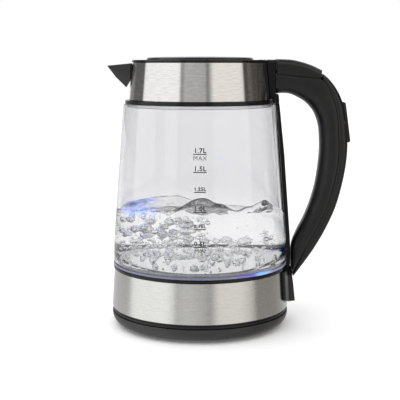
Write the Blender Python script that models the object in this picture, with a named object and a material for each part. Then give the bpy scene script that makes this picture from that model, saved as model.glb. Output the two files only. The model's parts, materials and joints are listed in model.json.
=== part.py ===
"""Glass electric kettle of 1.7 litres: a jug that lifts off and turns on its round power base.

Lengths are in millimetres and are scaled to metres where meshes are made. The origin is on the
common axis of jug and base, on the surface that the feet stand on. +Z is up, +X points to the
handle and -X to the spout.
"""

import math

import bmesh
import bpy
from mathutils import Vector

MM = 0.001
GAP = 0.3           # least distance between neighbouring pieces
ROUND = 32          # sides of the large turned pieces
SMALL_ROUND = 24    # sides of the small turned pieces
SHARP_ANGLE = math.radians(35)

# Power base
BASE_RADIUS = 80.0
BASE_UNDERSIDE = 0.6
BASE_TOP = 13.2
BASE_WALL = 2.2
BASE_EDGE_WIDTH = 12.0
BASE_EDGE_HEIGHT = 11.6
COVER_RADIUS = 67.2
FOOT_RADIUS = 5.5
FOOT_CIRCLE = 60.0
BASE_SCREW_CIRCLE = 46.0
POST_RADIUS = 15.4
POST_TOP = 23.4
GLAND_HEIGHT = 7.2
GLAND_BORE = 2.2

# Lower end of the jug
JUG_BOTTOM = 13.5
JUG_FOOT_RADIUS = 79.0
SKIRT_BOTTOM = 17.6
SKIRT_TOP = 52.6
SKIRT_BOTTOM_RADIUS = 80.0
SKIRT_TOP_RADIUS = 77.8
SKIRT_WALL = 0.8
CHASSIS_TOP = 55.6
LEDGE_RADIUS = 62.0
SOCKET_RADIUS = 21.4
PLATE_HEIGHT = 57.8
ELEMENT_CIRCLE = 47.0
ELEMENT_RADIUS = 3.6
JUG_SCREW_CIRCLE = 66.0
SENSOR_PLACE = (56.0, -15.0)
DISC_HEIGHT = 51.7

# Glass
GLASS_BOTTOM = 58.2
GLASS_TOP = 199.6
GLASS_WALL = 3.0
GLASS_FOOT_RADIUS = 78.2
GLASS_TOP_RADIUS = 68.4
GLASS_SHOULDER = 66.0    # height up to which the glass stands upright
GLASS_CONE_START = 82.0  # height from which it is a straight cone

# Collar and spout
RING_RADIUS = 67.0
RING_BOTTOM = 199.9
RING_TOP = 203.1
BAND_BOTTOM = 203.4
BAND_TOP = 235.8
BAND_BOTTOM_RADIUS = 63.5
BAND_TOP_RADIUS = 60.2
BAND_WALL = 0.7
RIM_TOP = 238.2
RIM_RADIUS = 60.4
MOUTH_RADIUS = 56.9
SPOUT_TIP = (-82.7, 0.0, 233.1)
SPOUT_CHIN = (-65.7, 0.0, 213.8)
SPOUT_ROOT_WIDTH = 12.0
SPOUT_WALL = 1.8

# Lid
LID_RADIUS = 56.4
LID_RAISED_RADIUS = 47.4
LID_TOP = 241.2
HINGE = (63.8, 0.0, 235.2)
KNUCKLE_RADIUS = 2.6
EAR_WIDTH = 9.0
PIN_RADIUS = 1.2

# Handle: stations from the collar round to the foot of the jug, seen from the side. Each gives
# the finger side, the parting line and the half width.
GRIP_STATIONS = (
    ((67.3, 208.8), (67.3, 225.2), 15.0),
    ((78.0, 208.8), (78.4, 224.2), 15.0),
    ((87.2, 205.2), (94.4, 222.2), 14.8),
    ((94.7, 200.3), (108.2, 220.2), 14.6),
    ((101.6, 192.0), (115.5, 208.4), 14.3),
    ((105.7, 180.5), (120.7, 192.3), 14.0),
    ((107.1, 167.0), (122.7, 169.6), 14.0),
    ((106.9, 152.3), (123.0, 154.0), 14.0),
    ((104.6, 132.5), (120.5, 134.1), 14.0),
    ((100.3, 114.1), (114.8, 111.4), 13.6),
    ((94.1, 97.6), (106.9, 92.5), 13.0),
    ((87.3, 84.0), (97.6, 75.2), 12.2),
    ((83.0, 72.0), (89.8, 59.4), 11.6),
    ((82.8, 54.0), (84.4, 46.9), 11.0),
)
# The back of the cover that closes the grip, from the end of the button downwards. The first
# point only steers the curve.
COVER_START = 3
COVER_BACK = (
    (96.5, 229.6), (108.4, 225.8), (119.8, 213.6), (127.2, 197.5), (130.9, 171.0), (131.2, 155.0),
    (128.7, 135.0), (122.7, 110.0), (114.4, 89.7), (103.9, 70.2), (92.3, 53.6), (84.7, 43.8),
)
# The lid release button: lower edge, top and half width.
BUTTON_STATIONS = (
    ((67.7, 225.6), (67.7, 238.9), 15.0),
    ((78.4, 224.8), (80.0, 238.4), 15.0),
    ((87.6, 223.9), (89.5, 236.4), 14.9),
    ((97.0, 223.3), (99.0, 233.2), 14.8),
    ((106.2, 222.7), (107.2, 229.2), 14.6),
)
HANDLE_WALL = 2.2
HANDLE_CORNER = 12.0
BUTTON_AXIS = (71.0, 0.0, 219.5)
BUTTON_SKIRT = (
    (76.0, 221.4), (92.0, 219.8), (104.4, 218.6), (104.4, 229.0), (98.0, 231.8), (89.0, 234.6), (76.0, 236.6),
)
LATCH_LOW = 226.0
LATCH_HIGH = 229.0
LATCH_WIDTH = 4.5
LATCH_NOSE = 57.6
SPINE_THICKNESS = 3.8
SPINE_TAPER = 155.0  # height from which the strip gets thinner
SPINE_WIDTH = 13.0
ROOT_WIDTH = 16.0
ROOT_BACK = 67.0
UPPER_SCREW_HEIGHT = 215.0
LOWER_SCREW_HEIGHT = 32.0
MOUNT_ANGLE = math.radians(23.5)
MOUNT_THICKNESS = 2.4
MOUNT_BOTTOM = 20.0
MOUNT_TOP = 52.3
MOUNT_RISE = 7.0    # height of the flange's lower edge at its sides, above the foot of the rib
MOUNT_LEVELS = ((0.0, 86.8), (0.5, 85.1), (0.7, 84.2), (0.84, 83.8), (1.0, 82.6))
RIB_WIDTH = 8.0

# Switch
ROCKER_AXIS = (127.0, 0.0, 183.0)
ROCKER_OUTLINE = (
    (122.0, 200.2), (127.9, 201.3), (129.4, 200.2), (131.9, 183.0), (134.2, 166.4), (133.0, 165.2),
    (125.8, 165.8),
)
ROCKER_WIDTH = 8.0


def clear_scene():
    """Removes every object that the scene starts with."""
    for obj in list(bpy.data.objects):
        bpy.data.objects.remove(obj, do_unlink=True)


# ---------------------------------------------------------------------------------- helpers

def finish(name, colour, roughness, metallic=0.0, transmission=0.0):
    """A Principled material with the piece's own colour and finish."""
    material = bpy.data.materials.new(name)
    material.use_nodes = True
    shader = material.node_tree.nodes["Principled BSDF"]
    shader.inputs["Base Color"].default_value = (*colour, 1.0)
    shader.inputs["Roughness"].default_value = roughness
    shader.inputs["Metallic"].default_value = metallic
    shader.inputs["Transmission Weight"].default_value = transmission
    return material


def object_from(name, bm, material, smooth=True):
    """Turns a bmesh into an object with outward faces."""
    bmesh.ops.recalc_face_normals(bm, faces=bm.faces)
    mesh = bpy.data.meshes.new(name)
    bm.to_mesh(mesh)
    bm.free()
    if material:
        mesh.materials.append(material)
    if smooth:
        mesh.shade_smooth()
        mesh.set_sharp_from_angle(angle=SHARP_ANGLE)
    obj = bpy.data.objects.new(name, mesh)
    bpy.context.collection.objects.link(obj)
    return obj


def turned(name, profile, material=None, sides=ROUND, centre=(0.0, 0.0)):
    """A solid turned about a vertical line; profile is its closed outline of (radius, height)."""
    bm = bmesh.new()
    rings = []
    for radius, height in profile:
        if radius == 0:
            rings.append([bm.verts.new((centre[0] * MM, centre[1] * MM, height * MM))] * sides)
            continue
        ring = []
        for side in range(sides):
            angle = 2 * math.pi * side / sides
            x = centre[0] + radius * math.cos(angle)
            y = centre[1] + radius * math.sin(angle)
            ring.append(bm.verts.new((x * MM, y * MM, height * MM)))
        rings.append(ring)
    for ring, following in zip(rings, rings[1:] + rings[:1]):
        for side in range(sides):
            after = (side + 1) % sides
            corners = dict.fromkeys((ring[side], ring[after], following[after], following[side]))
            if len(corners) > 2:
                bm.faces.new(list(corners))
    return object_from(name, bm, material)


def lofted(name, sections, material=None, smooth=True):
    """A solid skinned over closed sections that have the same number of points."""
    bm = bmesh.new()
    rows = [[bm.verts.new(Vector(point) * MM) for point in section] for section in sections]
    count = len(rows[0])
    for row, following in zip(rows, rows[1:]):
        for index in range(count):
            after = (index + 1) % count
            bm.faces.new((row[index], row[after], following[after], following[index]))
    bm.faces.new(rows[0])
    bm.faces.new(rows[-1])
    return object_from(name, bm, material, smooth)


def side_plate(name, outline, half_width, material=None, smooth=False):
    """An outline of (x, z) extruded to both sides of the plane y = 0."""
    sections = [[(x, y, z) for x, z in outline] for y in (-half_width, half_width)]
    return lofted(name, sections, material, smooth)


def block(name, low, high, material=None):
    """A box between two corners."""
    corners = ((low[0], low[1]), (high[0], low[1]), (high[0], high[1]), (low[0], high[1]))
    sections = [[(x, y, z) for x, y in corners] for z in (low[2], high[2])]
    return lofted(name, sections, material, smooth=False)


def hull(name, points, material=None):
    """The convex solid around some points."""
    bm = bmesh.new()
    for point in points:
        bm.verts.new(Vector(point) * MM)
    result = bmesh.ops.convex_hull(bm, input=bm.verts)
    bmesh.ops.delete(bm, geom=list(set(result["geom_interior"] + result["geom_unused"])), context="VERTS")
    return object_from(name, bm, material, smooth=False)


def circle(centre, normal, radius, sides):
    """Points on a circle across a direction."""
    normal = Vector(normal).normalized()
    across = normal.orthogonal().normalized()
    up = normal.cross(across)
    angles = [2 * math.pi * side / sides for side in range(sides)]
    return [Vector(centre) + radius * (across * math.cos(a) + up * math.sin(a)) for a in angles]


def rod(name, start, end, radius, material=None, sides=16):
    """A straight round bar between two points."""
    direction = Vector(end) - Vector(start)
    return lofted(name, [circle(point, direction, radius, sides) for point in (start, end)], material)


def tube(name, path, radius, axis, material=None, sides=8):
    """A round wire along a path that winds about an axis."""
    path = [Vector(point) for point in path]
    sections = []
    for index, point in enumerate(path):
        tangent = path[min(index + 1, len(path) - 1)] - path[max(index - 1, 0)]
        across = tangent.cross(Vector(axis)).normalized()
        up = across.cross(tangent).normalized()
        angles = [2 * math.pi * side / sides for side in range(sides)]
        sections.append([point + radius * (across * math.cos(a) + up * math.sin(a)) for a in angles])
    return lofted(name, sections, material)


def combine(target, tool, operation, solver):
    """Adds or removes the shape of a helper object."""
    modifier = target.modifiers.new(tool.name, "BOOLEAN")
    modifier.operation = operation
    modifier.solver = solver
    modifier.object = tool
    tool.hide_render = True
    tool.display_type = "WIRE"


def cut(target, *tools, solver="EXACT"):
    for tool in tools:
        combine(target, tool, "DIFFERENCE", solver)


def add(target, *tools, solver="EXACT"):
    for tool in tools:
        combine(target, tool, "UNION", solver)


def pivot(name, place):
    """An empty on a joint's axis, which carries the pieces that move together."""
    empty = bpy.data.objects.new(name, None)
    empty.location = Vector(place) * MM
    bpy.context.collection.objects.link(empty)
    return empty


def carry(empty, *pieces):
    """Hangs pieces on an empty without moving them."""
    for piece in pieces:
        piece.parent = empty
        piece.location = -empty.location


def polar(radius, degrees):
    angle = math.radians(degrees)
    return radius * math.cos(angle), radius * math.sin(angle)


def blend(low, high, share):
    return low + (high - low) * share


def spline(points, position):
    """Catmull-Rom value of a list of equal tuples at a position counted in list places."""
    last = len(points) - 1
    index = min(int(position), last - 1)
    share = position - index
    before, start, end, beyond = (points[min(max(index + step, 0), last)] for step in (-1, 0, 1, 2))
    values = []
    for a, b, c, d in zip(before, start, end, beyond):
        cubic = (3 * (b - c) + d - a) * share ** 3
        square = (2 * a - 5 * b + 4 * c - d) * share ** 2
        values.append(b + 0.5 * (cubic + square + (c - a) * share))
    return values


def spaced(start, end, count):
    return [blend(start, end, index / (count - 1)) for index in range(count)]


def channel_section(closed, opened, half_width, wall=HANDLE_WALL, corner=HANDLE_CORNER):
    """A U across the handle: closed and rounded at one side, open at the other."""
    closed = Vector((closed[0], 0, closed[1]))
    direction = Vector((opened[0], 0, opened[1])) - closed
    depth = direction.length
    direction.normalize()
    corner = min(corner, 0.7 * depth)
    outline = [(depth, half_width)]
    for angle in spaced(0, math.pi / 2, 4):
        outline.append((corner * (1 - math.sin(angle)), half_width - corner * (1 - math.cos(angle))))
    outline += [(across, -width) for across, width in reversed(outline)]
    inside = half_width - wall
    hollow = max(corner - wall, 0.5)
    inner = [(depth, inside)]
    for angle in spaced(0, math.pi / 2, 3):
        inner.append((wall + hollow * (1 - math.sin(angle)), inside - hollow * (1 - math.cos(angle))))
    outline += [(across, -width) for across, width in inner]
    outline += reversed(inner)
    return [closed + direction * across + Vector((0, width, 0)) for across, width in outline]


def skirt_radius(height):
    return blend(SKIRT_BOTTOM_RADIUS, SKIRT_TOP_RADIUS, (height - SKIRT_BOTTOM) / (SKIRT_TOP - SKIRT_BOTTOM))


def band_radius(height):
    return blend(BAND_BOTTOM_RADIUS, BAND_TOP_RADIUS, (height - BAND_BOTTOM) / (BAND_TOP - BAND_BOTTOM))


def glass_radius(height):
    """Outer radius of the glass: upright at the foot, a smooth knee, then a straight cone."""
    middle = (GLASS_SHOULDER + GLASS_CONE_START) / 2
    slope = (GLASS_FOOT_RADIUS - GLASS_TOP_RADIUS) / (GLASS_TOP - middle)
    if height <= GLASS_SHOULDER:
        return GLASS_FOOT_RADIUS
    if height >= GLASS_CONE_START:
        return GLASS_FOOT_RADIUS - slope * (height - middle)
    knee = GLASS_CONE_START - GLASS_SHOULDER
    return GLASS_FOOT_RADIUS - slope * (height - GLASS_SHOULDER) ** 2 / (2 * knee)


# --------------------------------------------------------------------------------- the base

def make_base(plastic, rubber, steel, brass, nylon):
    edge_radius = BASE_RADIUS - BASE_EDGE_WIDTH
    outer = []
    for a in spaced(0, math.pi / 2, 6):
        rise = BASE_EDGE_HEIGHT * (1 - math.cos(a))
        outer.append((edge_radius + BASE_EDGE_WIDTH * math.sin(a), BASE_UNDERSIDE + rise))
    shell = turned("base_shell", [
        (COVER_RADIUS + GAP, BASE_UNDERSIDE), *outer,
        (BASE_RADIUS, BASE_TOP - 0.8), (BASE_RADIUS - 0.8, BASE_TOP),
        (POST_RADIUS + 1.0, BASE_TOP), (POST_RADIUS + 1.0, BASE_TOP - BASE_WALL),
        (BASE_RADIUS - 1.6 * BASE_WALL, BASE_TOP - BASE_WALL),
        (edge_radius, BASE_UNDERSIDE + BASE_WALL), (COVER_RADIUS + GAP, BASE_UNDERSIDE + BASE_WALL),
    ], plastic)
    cover = turned("base_bottom_cover", [
        (0, BASE_UNDERSIDE), (COVER_RADIUS, BASE_UNDERSIDE), (COVER_RADIUS, BASE_UNDERSIDE + 1.9),
        (0, BASE_UNDERSIDE + 1.9),
    ], plastic)
    head_top = BASE_UNDERSIDE + 2.2
    for number, degrees in enumerate((90, 210, 330), 1):
        place = polar(BASE_SCREW_CIRCLE, degrees)
        post = turned(f"base_post_{number}", [(0, 7.0), (3.6, 7.0), (3.6, 12.0), (0, 12.0)],
                      sides=SMALL_ROUND, centre=place)
        bore = turned(f"base_post_bore_{number}", [(0, 6.0), (1.6, 6.0), (1.6, 12.2), (0, 12.2)],
                      sides=12, centre=place)
        add(shell, post, solver="MANIFOLD")
        cut(shell, bore, solver="MANIFOLD")
        boss = turned(f"cover_boss_{number}", [(0, 1.6), (5.0, 1.6), (5.0, 6.6), (0, 6.6)],
                      sides=SMALL_ROUND, centre=place)
        hole = turned(f"cover_hole_{number}", [
            (0, 0.2), (3.2, 0.2), (3.2, head_top + GAP), (1.7, head_top + GAP), (1.7, 7.5), (0, 7.5),
        ], sides=12, centre=place)
        add(cover, boss, solver="MANIFOLD")
        cut(cover, hole, solver="MANIFOLD")
        turned(f"base_screw_{number}", [
            (0, 0.9), (2.8, 0.9), (2.8, head_top), (1.3, head_top), (1.3, 11.2), (0, 11.9),
        ], steel, sides=12, centre=place)
    for number, degrees in enumerate((45, 135, 225, 315), 1):
        place = polar(FOOT_CIRCLE, degrees)
        pocket_top = BASE_UNDERSIDE + 0.7
        pocket = turned(f"foot_pocket_{number}", [
            (0, 0.2), (FOOT_RADIUS + 0.4, 0.2), (FOOT_RADIUS + 0.4, pocket_top), (0, pocket_top),
        ], sides=16, centre=place)
        cut(cover, pocket, solver="MANIFOLD")
        turned(f"base_foot_{number}", [
            (0, 0), (FOOT_RADIUS - 0.4, 0), (FOOT_RADIUS, 0.4), (FOOT_RADIUS, pocket_top - GAP),
            (0, pocket_top - GAP),
        ], rubber, sides=16, centre=place)
    make_connector(nylon, brass)
    passage = rod("gland_passage", (0, 70, GLAND_HEIGHT), (0, 90, GLAND_HEIGHT), 3.6)
    cut(shell, passage, solver="MANIFOLD")
    gland = rod("cord_gland", (0, 73.5, GLAND_HEIGHT), (0, 81.9, GLAND_HEIGHT), 3.25, rubber)
    collar = rod("gland_collar", (0, 80.3, GLAND_HEIGHT), (0, 82.2, GLAND_HEIGHT), 5.0)
    bore = rod("gland_bore", (0, 70, GLAND_HEIGHT), (0, 90, GLAND_HEIGHT), GLAND_BORE)
    add(gland, collar)
    cut(gland, bore)


def make_connector(nylon, brass):
    """The round post of the base, with the contacts that let the jug turn on it."""
    flange_top = BASE_TOP - BASE_WALL - GAP
    turned("base_connector", [
        (0, 4.6), (16.0, 4.6), (16.0, 9.2), (20.0, 9.2), (20.0, flange_top), (POST_RADIUS, flange_top),
        (POST_RADIUS, POST_TOP - 0.6), (POST_RADIUS - 0.6, POST_TOP), (12.0, POST_TOP), (12.0, 15.0),
        (9.6, 15.0), (9.6, POST_TOP), (2.6, POST_TOP), (2.6, 14.0), (0, 14.0),
    ], nylon, sides=SMALL_ROUND)
    turned("base_line_contact", [(9.9, 15.3), (11.6, 15.3), (11.6, 16.1), (9.9, 16.1)], brass,
           sides=SMALL_ROUND)
    turned("base_earth_contact", [(0, 14.3), (2.2, 14.3), (2.2, 15.1), (0, 15.1)], brass, sides=12)


# ---------------------------------------------------------------------- lower end of the jug

def make_socket(nylon, brass):
    """The female connector in the bottom of the jug, which drops over the post of the base."""
    ceiling = 24.2
    top = 28.3
    socket = turned("jug_socket", [
        (POST_RADIUS + 0.8, 15.8), (SOCKET_RADIUS, 15.8), (SOCKET_RADIUS, 18.3), (23.6, 18.3),
        (23.6, 19.8), (SOCKET_RADIUS, 19.8), (SOCKET_RADIUS, top), (0, top), (0, ceiling),
        (POST_RADIUS + 0.8, ceiling),
    ], nylon, sides=SMALL_ROUND)
    blade = turned("socket_blade", [
        (10.4, 16.5), (11.1, 16.5), (11.1, ceiling - GAP), (10.4, ceiling - GAP),
    ], brass, sides=SMALL_ROUND)
    pin = turned("socket_pin", [
        (0, 15.5), (1.0, 15.5), (1.6, 16.3), (1.6, ceiling - GAP), (0, ceiling - GAP),
    ], brass, sides=12)
    return socket, blade, pin


def make_jug_bottom(plastic, steel):
    cover = turned("jug_bottom_cover", [
        (72.0, JUG_BOTTOM), (JUG_FOOT_RADIUS - 0.6, JUG_BOTTOM), (JUG_FOOT_RADIUS, JUG_BOTTOM + 0.6),
        (JUG_FOOT_RADIUS, SKIRT_BOTTOM - GAP), (75.4, SKIRT_BOTTOM - GAP), (75.4, 26.0), (73.6, 26.0),
        (73.6, 17.8), (SOCKET_RADIUS + 0.6, 17.8), (SOCKET_RADIUS + 0.6, 15.8), (70.0, 15.8),
    ], plastic)
    skirt = turned("steel_skirt", [
        (SKIRT_BOTTOM_RADIUS - SKIRT_WALL, SKIRT_BOTTOM), (SKIRT_BOTTOM_RADIUS, SKIRT_BOTTOM),
        (SKIRT_TOP_RADIUS, SKIRT_TOP), (SKIRT_TOP_RADIUS - SKIRT_WALL, SKIRT_TOP),
    ], steel)
    outer_bottom = skirt_radius(20.5) - SKIRT_WALL - 0.35
    outer_top = SKIRT_TOP_RADIUS - SKIRT_WALL - 0.35
    flange = SKIRT_TOP + GAP
    chassis = turned("jug_chassis", [
        (outer_bottom - 2.0, 20.5), (outer_bottom, 20.5), (outer_top, SKIRT_TOP), (outer_top, flange),
        (GLASS_FOOT_RADIUS - 0.3, flange), (GLASS_FOOT_RADIUS, flange + 0.3),
        (GLASS_FOOT_RADIUS, CHASSIS_TOP - 0.3), (GLASS_FOOT_RADIUS - 0.3, CHASSIS_TOP),
        (LEDGE_RADIUS, CHASSIS_TOP), (LEDGE_RADIUS, flange), (outer_top - 2.0, flange),
    ], plastic)
    for number, degrees in enumerate((60, 180, 300), 1):
        place = polar(JUG_SCREW_CIRCLE, degrees)
        post = turned(f"chassis_post_{number}", [
            (0, 30.0), (3.6, 30.0), (3.6, flange + 0.6), (0, flange + 0.6),
        ], sides=12, centre=place)
        bore = turned(f"chassis_bore_{number}", [(0, 29.0), (1.7, 29.0), (1.7, 44.0), (0, 44.0)],
                      sides=12, centre=place)
        add(chassis, post, solver="MANIFOLD")
        cut(chassis, bore, solver="MANIFOLD")
        hole = turned(f"jug_cover_hole_{number}", [(0, 14.0), (1.8, 14.0), (1.8, 19.0), (0, 19.0)],
                      sides=12, centre=place)
        cut(cover, hole, solver="MANIFOLD")
        turned(f"jug_screw_{number}", [
            (0, 14.1), (2.8, 14.1), (2.8, 15.5), (1.3, 15.5), (1.3, 38.0), (0, 39.0),
        ], steel, sides=12, centre=place)
    return cover, skirt, chassis


def make_heater(steel, aluminium, silicone, nylon, brass):
    """Everything under the water: plate, seal, spreader, element and the thermostat."""
    turned("plate_seal", [
        (69.5, CHASSIS_TOP + GAP), (74.8, CHASSIS_TOP + GAP),
        (74.8, PLATE_HEIGHT + 3.0), (73.4, PLATE_HEIGHT + 3.0),
        (73.4, PLATE_HEIGHT - GAP), (69.5, PLATE_HEIGHT - GAP),
    ], silicone)
    turned("heater_plate", [
        (0, PLATE_HEIGHT), (73.0, PLATE_HEIGHT), (73.0, PLATE_HEIGHT + 0.8), (0, PLATE_HEIGHT + 0.8),
    ], steel)
    turned("plate_sensor", [
        (0, PLATE_HEIGHT + 1.1), (3.2, PLATE_HEIGHT + 1.1), (3.2, PLATE_HEIGHT + 3.6),
        (2.2, PLATE_HEIGHT + 4.8), (0, PLATE_HEIGHT + 5.2),
    ], steel, sides=16, centre=SENSOR_PLACE)
    spreader = PLATE_HEIGHT - 2.0
    turned("heat_spreader", [
        (20.0, spreader), (60.0, spreader), (60.0, PLATE_HEIGHT - GAP), (20.0, PLATE_HEIGHT - GAP),
    ], aluminium)
    ring_height = spreader - GAP - ELEMENT_RADIUS
    ring = [(*polar(ELEMENT_CIRCLE, degrees), ring_height) for degrees in spaced(25, 335, 24)]
    tube("heating_element", ring, ELEMENT_RADIUS, (0, 0, 1), steel)
    turned("thermostat_body", [
        (0, 28.8), (19.0, 28.8), (20.0, 29.8), (20.0, 41.0), (16.0, 43.0), (16.0, DISC_HEIGHT - GAP),
        (0, DISC_HEIGHT - GAP),
    ], nylon, sides=SMALL_ROUND)
    for number, side in enumerate((-1, 1), 1):
        turned(f"bimetal_disc_{number}", [
            (0, DISC_HEIGHT + 0.9), (6.4, DISC_HEIGHT), (6.4, DISC_HEIGHT + 0.7), (0, DISC_HEIGHT + 1.6),
        ], brass, sides=16, centre=(0, 8.0 * side))


def make_light(acrylic, board):
    """The clear ring under the glass and the lamps that light it."""
    turned("light_ring", [
        (75.1, CHASSIS_TOP + GAP), (78.0, CHASSIS_TOP + GAP), (78.2, CHASSIS_TOP + 0.5),
        (78.2, GLASS_BOTTOM - GAP), (75.1, GLASS_BOTTOM - GAP),
    ], acrylic)
    outline = [polar(71.5, degrees) for degrees in spaced(-40, 40, 13)]
    outline += [polar(64.5, degrees) for degrees in spaced(40, -40, 13)]
    top = SKIRT_TOP - 2.4
    faces = [[(x, y, z) for x, y in outline] for z in (top - 1.6, top)]
    lamps = lofted("led_board", faces, board, smooth=False)
    for number, degrees in enumerate((-30, 0, 30), 1):
        lamp = turned(f"lamp_{number}", [(0, top - 0.4), (2.5, top - 0.4), (2.5, top + 2.2), (0, top + 2.2)],
                      sides=12, centre=polar(68.0, degrees))
        add(lamps, lamp)


# -------------------------------------------------------------------------- glass and collar

def make_glass(glass):
    heights = [GLASS_BOTTOM, *spaced(GLASS_SHOULDER, GLASS_CONE_START, 4), GLASS_TOP - 1.0]
    outer = [(glass_radius(z), z) for z in heights]
    inner = [(glass_radius(z) - GLASS_WALL, z) for z in reversed(heights)]
    lip = [(glass_radius(GLASS_TOP) - share * GLASS_WALL, GLASS_TOP) for share in (0.3, 0.7)]
    return turned("glass_jug", [*outer, *lip, *inner], glass)


def make_collar(plastic, steel, silicone):
    wall_gap = BAND_WALL + 0.4
    frame = turned("collar_frame", [
        (60.6, RING_BOTTOM), (RING_RADIUS - 0.4, RING_BOTTOM), (RING_RADIUS, RING_BOTTOM + 0.4),
        (RING_RADIUS, RING_TOP),
        (BAND_BOTTOM_RADIUS - wall_gap, RING_TOP), (BAND_TOP_RADIUS - wall_gap, BAND_TOP + GAP),
        (RIM_RADIUS, BAND_TOP + GAP), (RIM_RADIUS, RIM_TOP - 0.7), (RIM_RADIUS - 0.7, RIM_TOP),
        (MOUTH_RADIUS + 0.7, RIM_TOP), (MOUTH_RADIUS, RIM_TOP - 0.7), (MOUTH_RADIUS, 229.0),
        (59.6, 206.0),
    ], plastic)
    band = turned("collar_band", [
        (BAND_BOTTOM_RADIUS - BAND_WALL, BAND_BOTTOM), (BAND_BOTTOM_RADIUS, BAND_BOTTOM),
        (BAND_TOP_RADIUS, BAND_TOP), (BAND_TOP_RADIUS - BAND_WALL, BAND_TOP),
    ], steel)
    seal = turned("collar_seal", [(62.0, 194.0), (64.9, 194.0), (64.9, 199.6), (62.0, 199.6)], silicone)
    pour_window = block("pour_window", (-70, -10, 221.6), (-50, 10, 234.6))
    latch_window = block("latch_window", (50, -5.2, LATCH_LOW - 0.5), (66, 5.2, LATCH_HIGH + 0.5))
    screw_window = rod("collar_screw_hole", (50, 0, UPPER_SCREW_HEIGHT), (66, 0, UPPER_SCREW_HEIGHT), 1.9)
    rim_notch = block("rim_notch", (50, -EAR_WIDTH - 0.5, BAND_TOP + 0.1), (63, EAR_WIDTH + 0.5, 242))
    for piece in (frame, band):
        cut(piece, pour_window, latch_window, screw_window)
    cut(frame, rim_notch)
    return frame, band, seal


def make_spout(plastic):
    """A narrow V-shaped beak, open at the top, with a sleeve through the window of the collar."""
    root_top = BAND_TOP - 0.6
    outside = []
    inside = []
    for side in (-1, 1):
        width = side * SPOUT_ROOT_WIDTH
        outside += [(-60.9, width, root_top), (-61.6, side * 10.0, 221.0)]
        slim = side * (SPOUT_ROOT_WIDTH - SPOUT_WALL - 0.8)
        inside += [(-60.0, slim, root_top + 4), (-60.0, side * 8.0, 223.4)]
    tip_x, _, tip_z = SPOUT_TIP
    chin_x, _, chin_z = SPOUT_CHIN
    keel = (blend(tip_x, chin_x, 0.5) - 0.7, 0, blend(tip_z, chin_z, 0.5) - 0.6)
    spout = hull("spout", [SPOUT_TIP, keel, SPOUT_CHIN, *outside], plastic)
    tip = Vector(SPOUT_TIP) + Vector((3.0, 0, 0))
    hollow = hull("spout_hollow", [tip, tip + Vector((0, 0, 4)), (chin_x + 1.2, 0, chin_z + 4.6), *inside])
    sleeve = block("spout_sleeve", (-62.6, -9.6, 222.0), (-56.2, 9.6, 234.2))
    bore = block("spout_bore", (-63.2, -8.1, 223.4), (-50, 8.1, 240))
    clearance = turned("band_clearance", [
        (0, 200), (BAND_BOTTOM_RADIUS + GAP, BAND_BOTTOM), (BAND_TOP_RADIUS + GAP, BAND_TOP),
        (BAND_TOP_RADIUS + GAP, 245), (0, 245),
    ])
    cut(spout, clearance)
    add(spout, sleeve)
    cut(spout, hollow, bore)
    return spout


def make_filter(plastic, steel):
    """The scale filter that hangs inside the mouth, behind the spout."""
    def bow(radius_out, radius_in, angle, low, high, name, material=None):
        outline = [polar(radius_out, degrees) for degrees in spaced(180 - angle, 180 + angle, 9)]
        outline += [polar(radius_in, degrees) for degrees in spaced(180 + angle, 180 - angle, 9)]
        return lofted(name, [[(x, y, z) for x, y in outline] for z in (low, high)], material)
    frame = bow(55.9, 52.6, 16, 206.5, 226.6, "filter_frame", plastic)
    window = bow(58.0, 50.0, 12, 209.5, 223.6, "filter_window")
    cut(frame, window)
    mesh = bow(54.6, 54.0, 11.6, 209.9, 223.2, "filter_mesh", steel)
    return frame, mesh


# --------------------------------------------------------------------------------------- lid

def make_lid(plastic, silicone):
    cover = turned("lid_cover", [
        (0, LID_TOP), (24.0, LID_TOP - 0.3), (LID_RAISED_RADIUS - 1.4, LID_TOP - 0.9),
        (LID_RAISED_RADIUS, LID_TOP - 1.8), (LID_RAISED_RADIUS + 0.3, RIM_TOP - 0.1),
        (LID_RADIUS - 0.8, RIM_TOP - 0.2), (LID_RADIUS, RIM_TOP - 1.0), (LID_RADIUS, 233.0),
        (LID_RADIUS - 1.8, 233.0), (LID_RADIUS - 1.8, 236.3), (LID_RAISED_RADIUS - 1.6, 236.5),
        (LID_RAISED_RADIUS - 2.0, LID_TOP - 2.8), (24.0, LID_TOP - 2.2), (0, LID_TOP - 2.0),
    ], plastic)
    knuckle = [(HINGE[0] + KNUCKLE_RADIUS * math.cos(a), HINGE[2] + KNUCKLE_RADIUS * math.sin(a))
               for a in spaced(math.radians(150), math.radians(450), 13)]
    ear = side_plate("lid_ear", [(52.0, RIM_TOP + 0.2), (52.0, 236.5), (61.3, 236.5), *knuckle,
                                 (62.6, RIM_TOP + 0.2)], EAR_WIDTH)
    spring_gap = block("spring_gap", (60.4, -4.6, 230), (68, 4.6, 242))
    hinge_bore = rod("hinge_bore", (HINGE[0], -20, HINGE[2]), (HINGE[0], 20, HINGE[2]),
                     PIN_RADIUS + 0.35, sides=12)
    add(cover, ear)
    cut(cover, spring_gap, hinge_bore)
    inner = turned("lid_inner", [
        (0, 227.8), (53.6, 227.8), (53.6, 229.4), (52.4, 229.4), (52.4, 232.5), (50.6, 232.5),
        (50.6, 229.6), (4.0, 229.6), (4.0, LID_TOP - 2.5), (0, LID_TOP - 2.5),
    ], plastic)
    seal = turned("lid_seal", [(52.7, 229.7), (56.3, 229.7), (55.9, 232.2), (52.7, 232.2)], silicone)
    return cover, inner, seal


# ------------------------------------------------------------------------------------ handle

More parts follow.
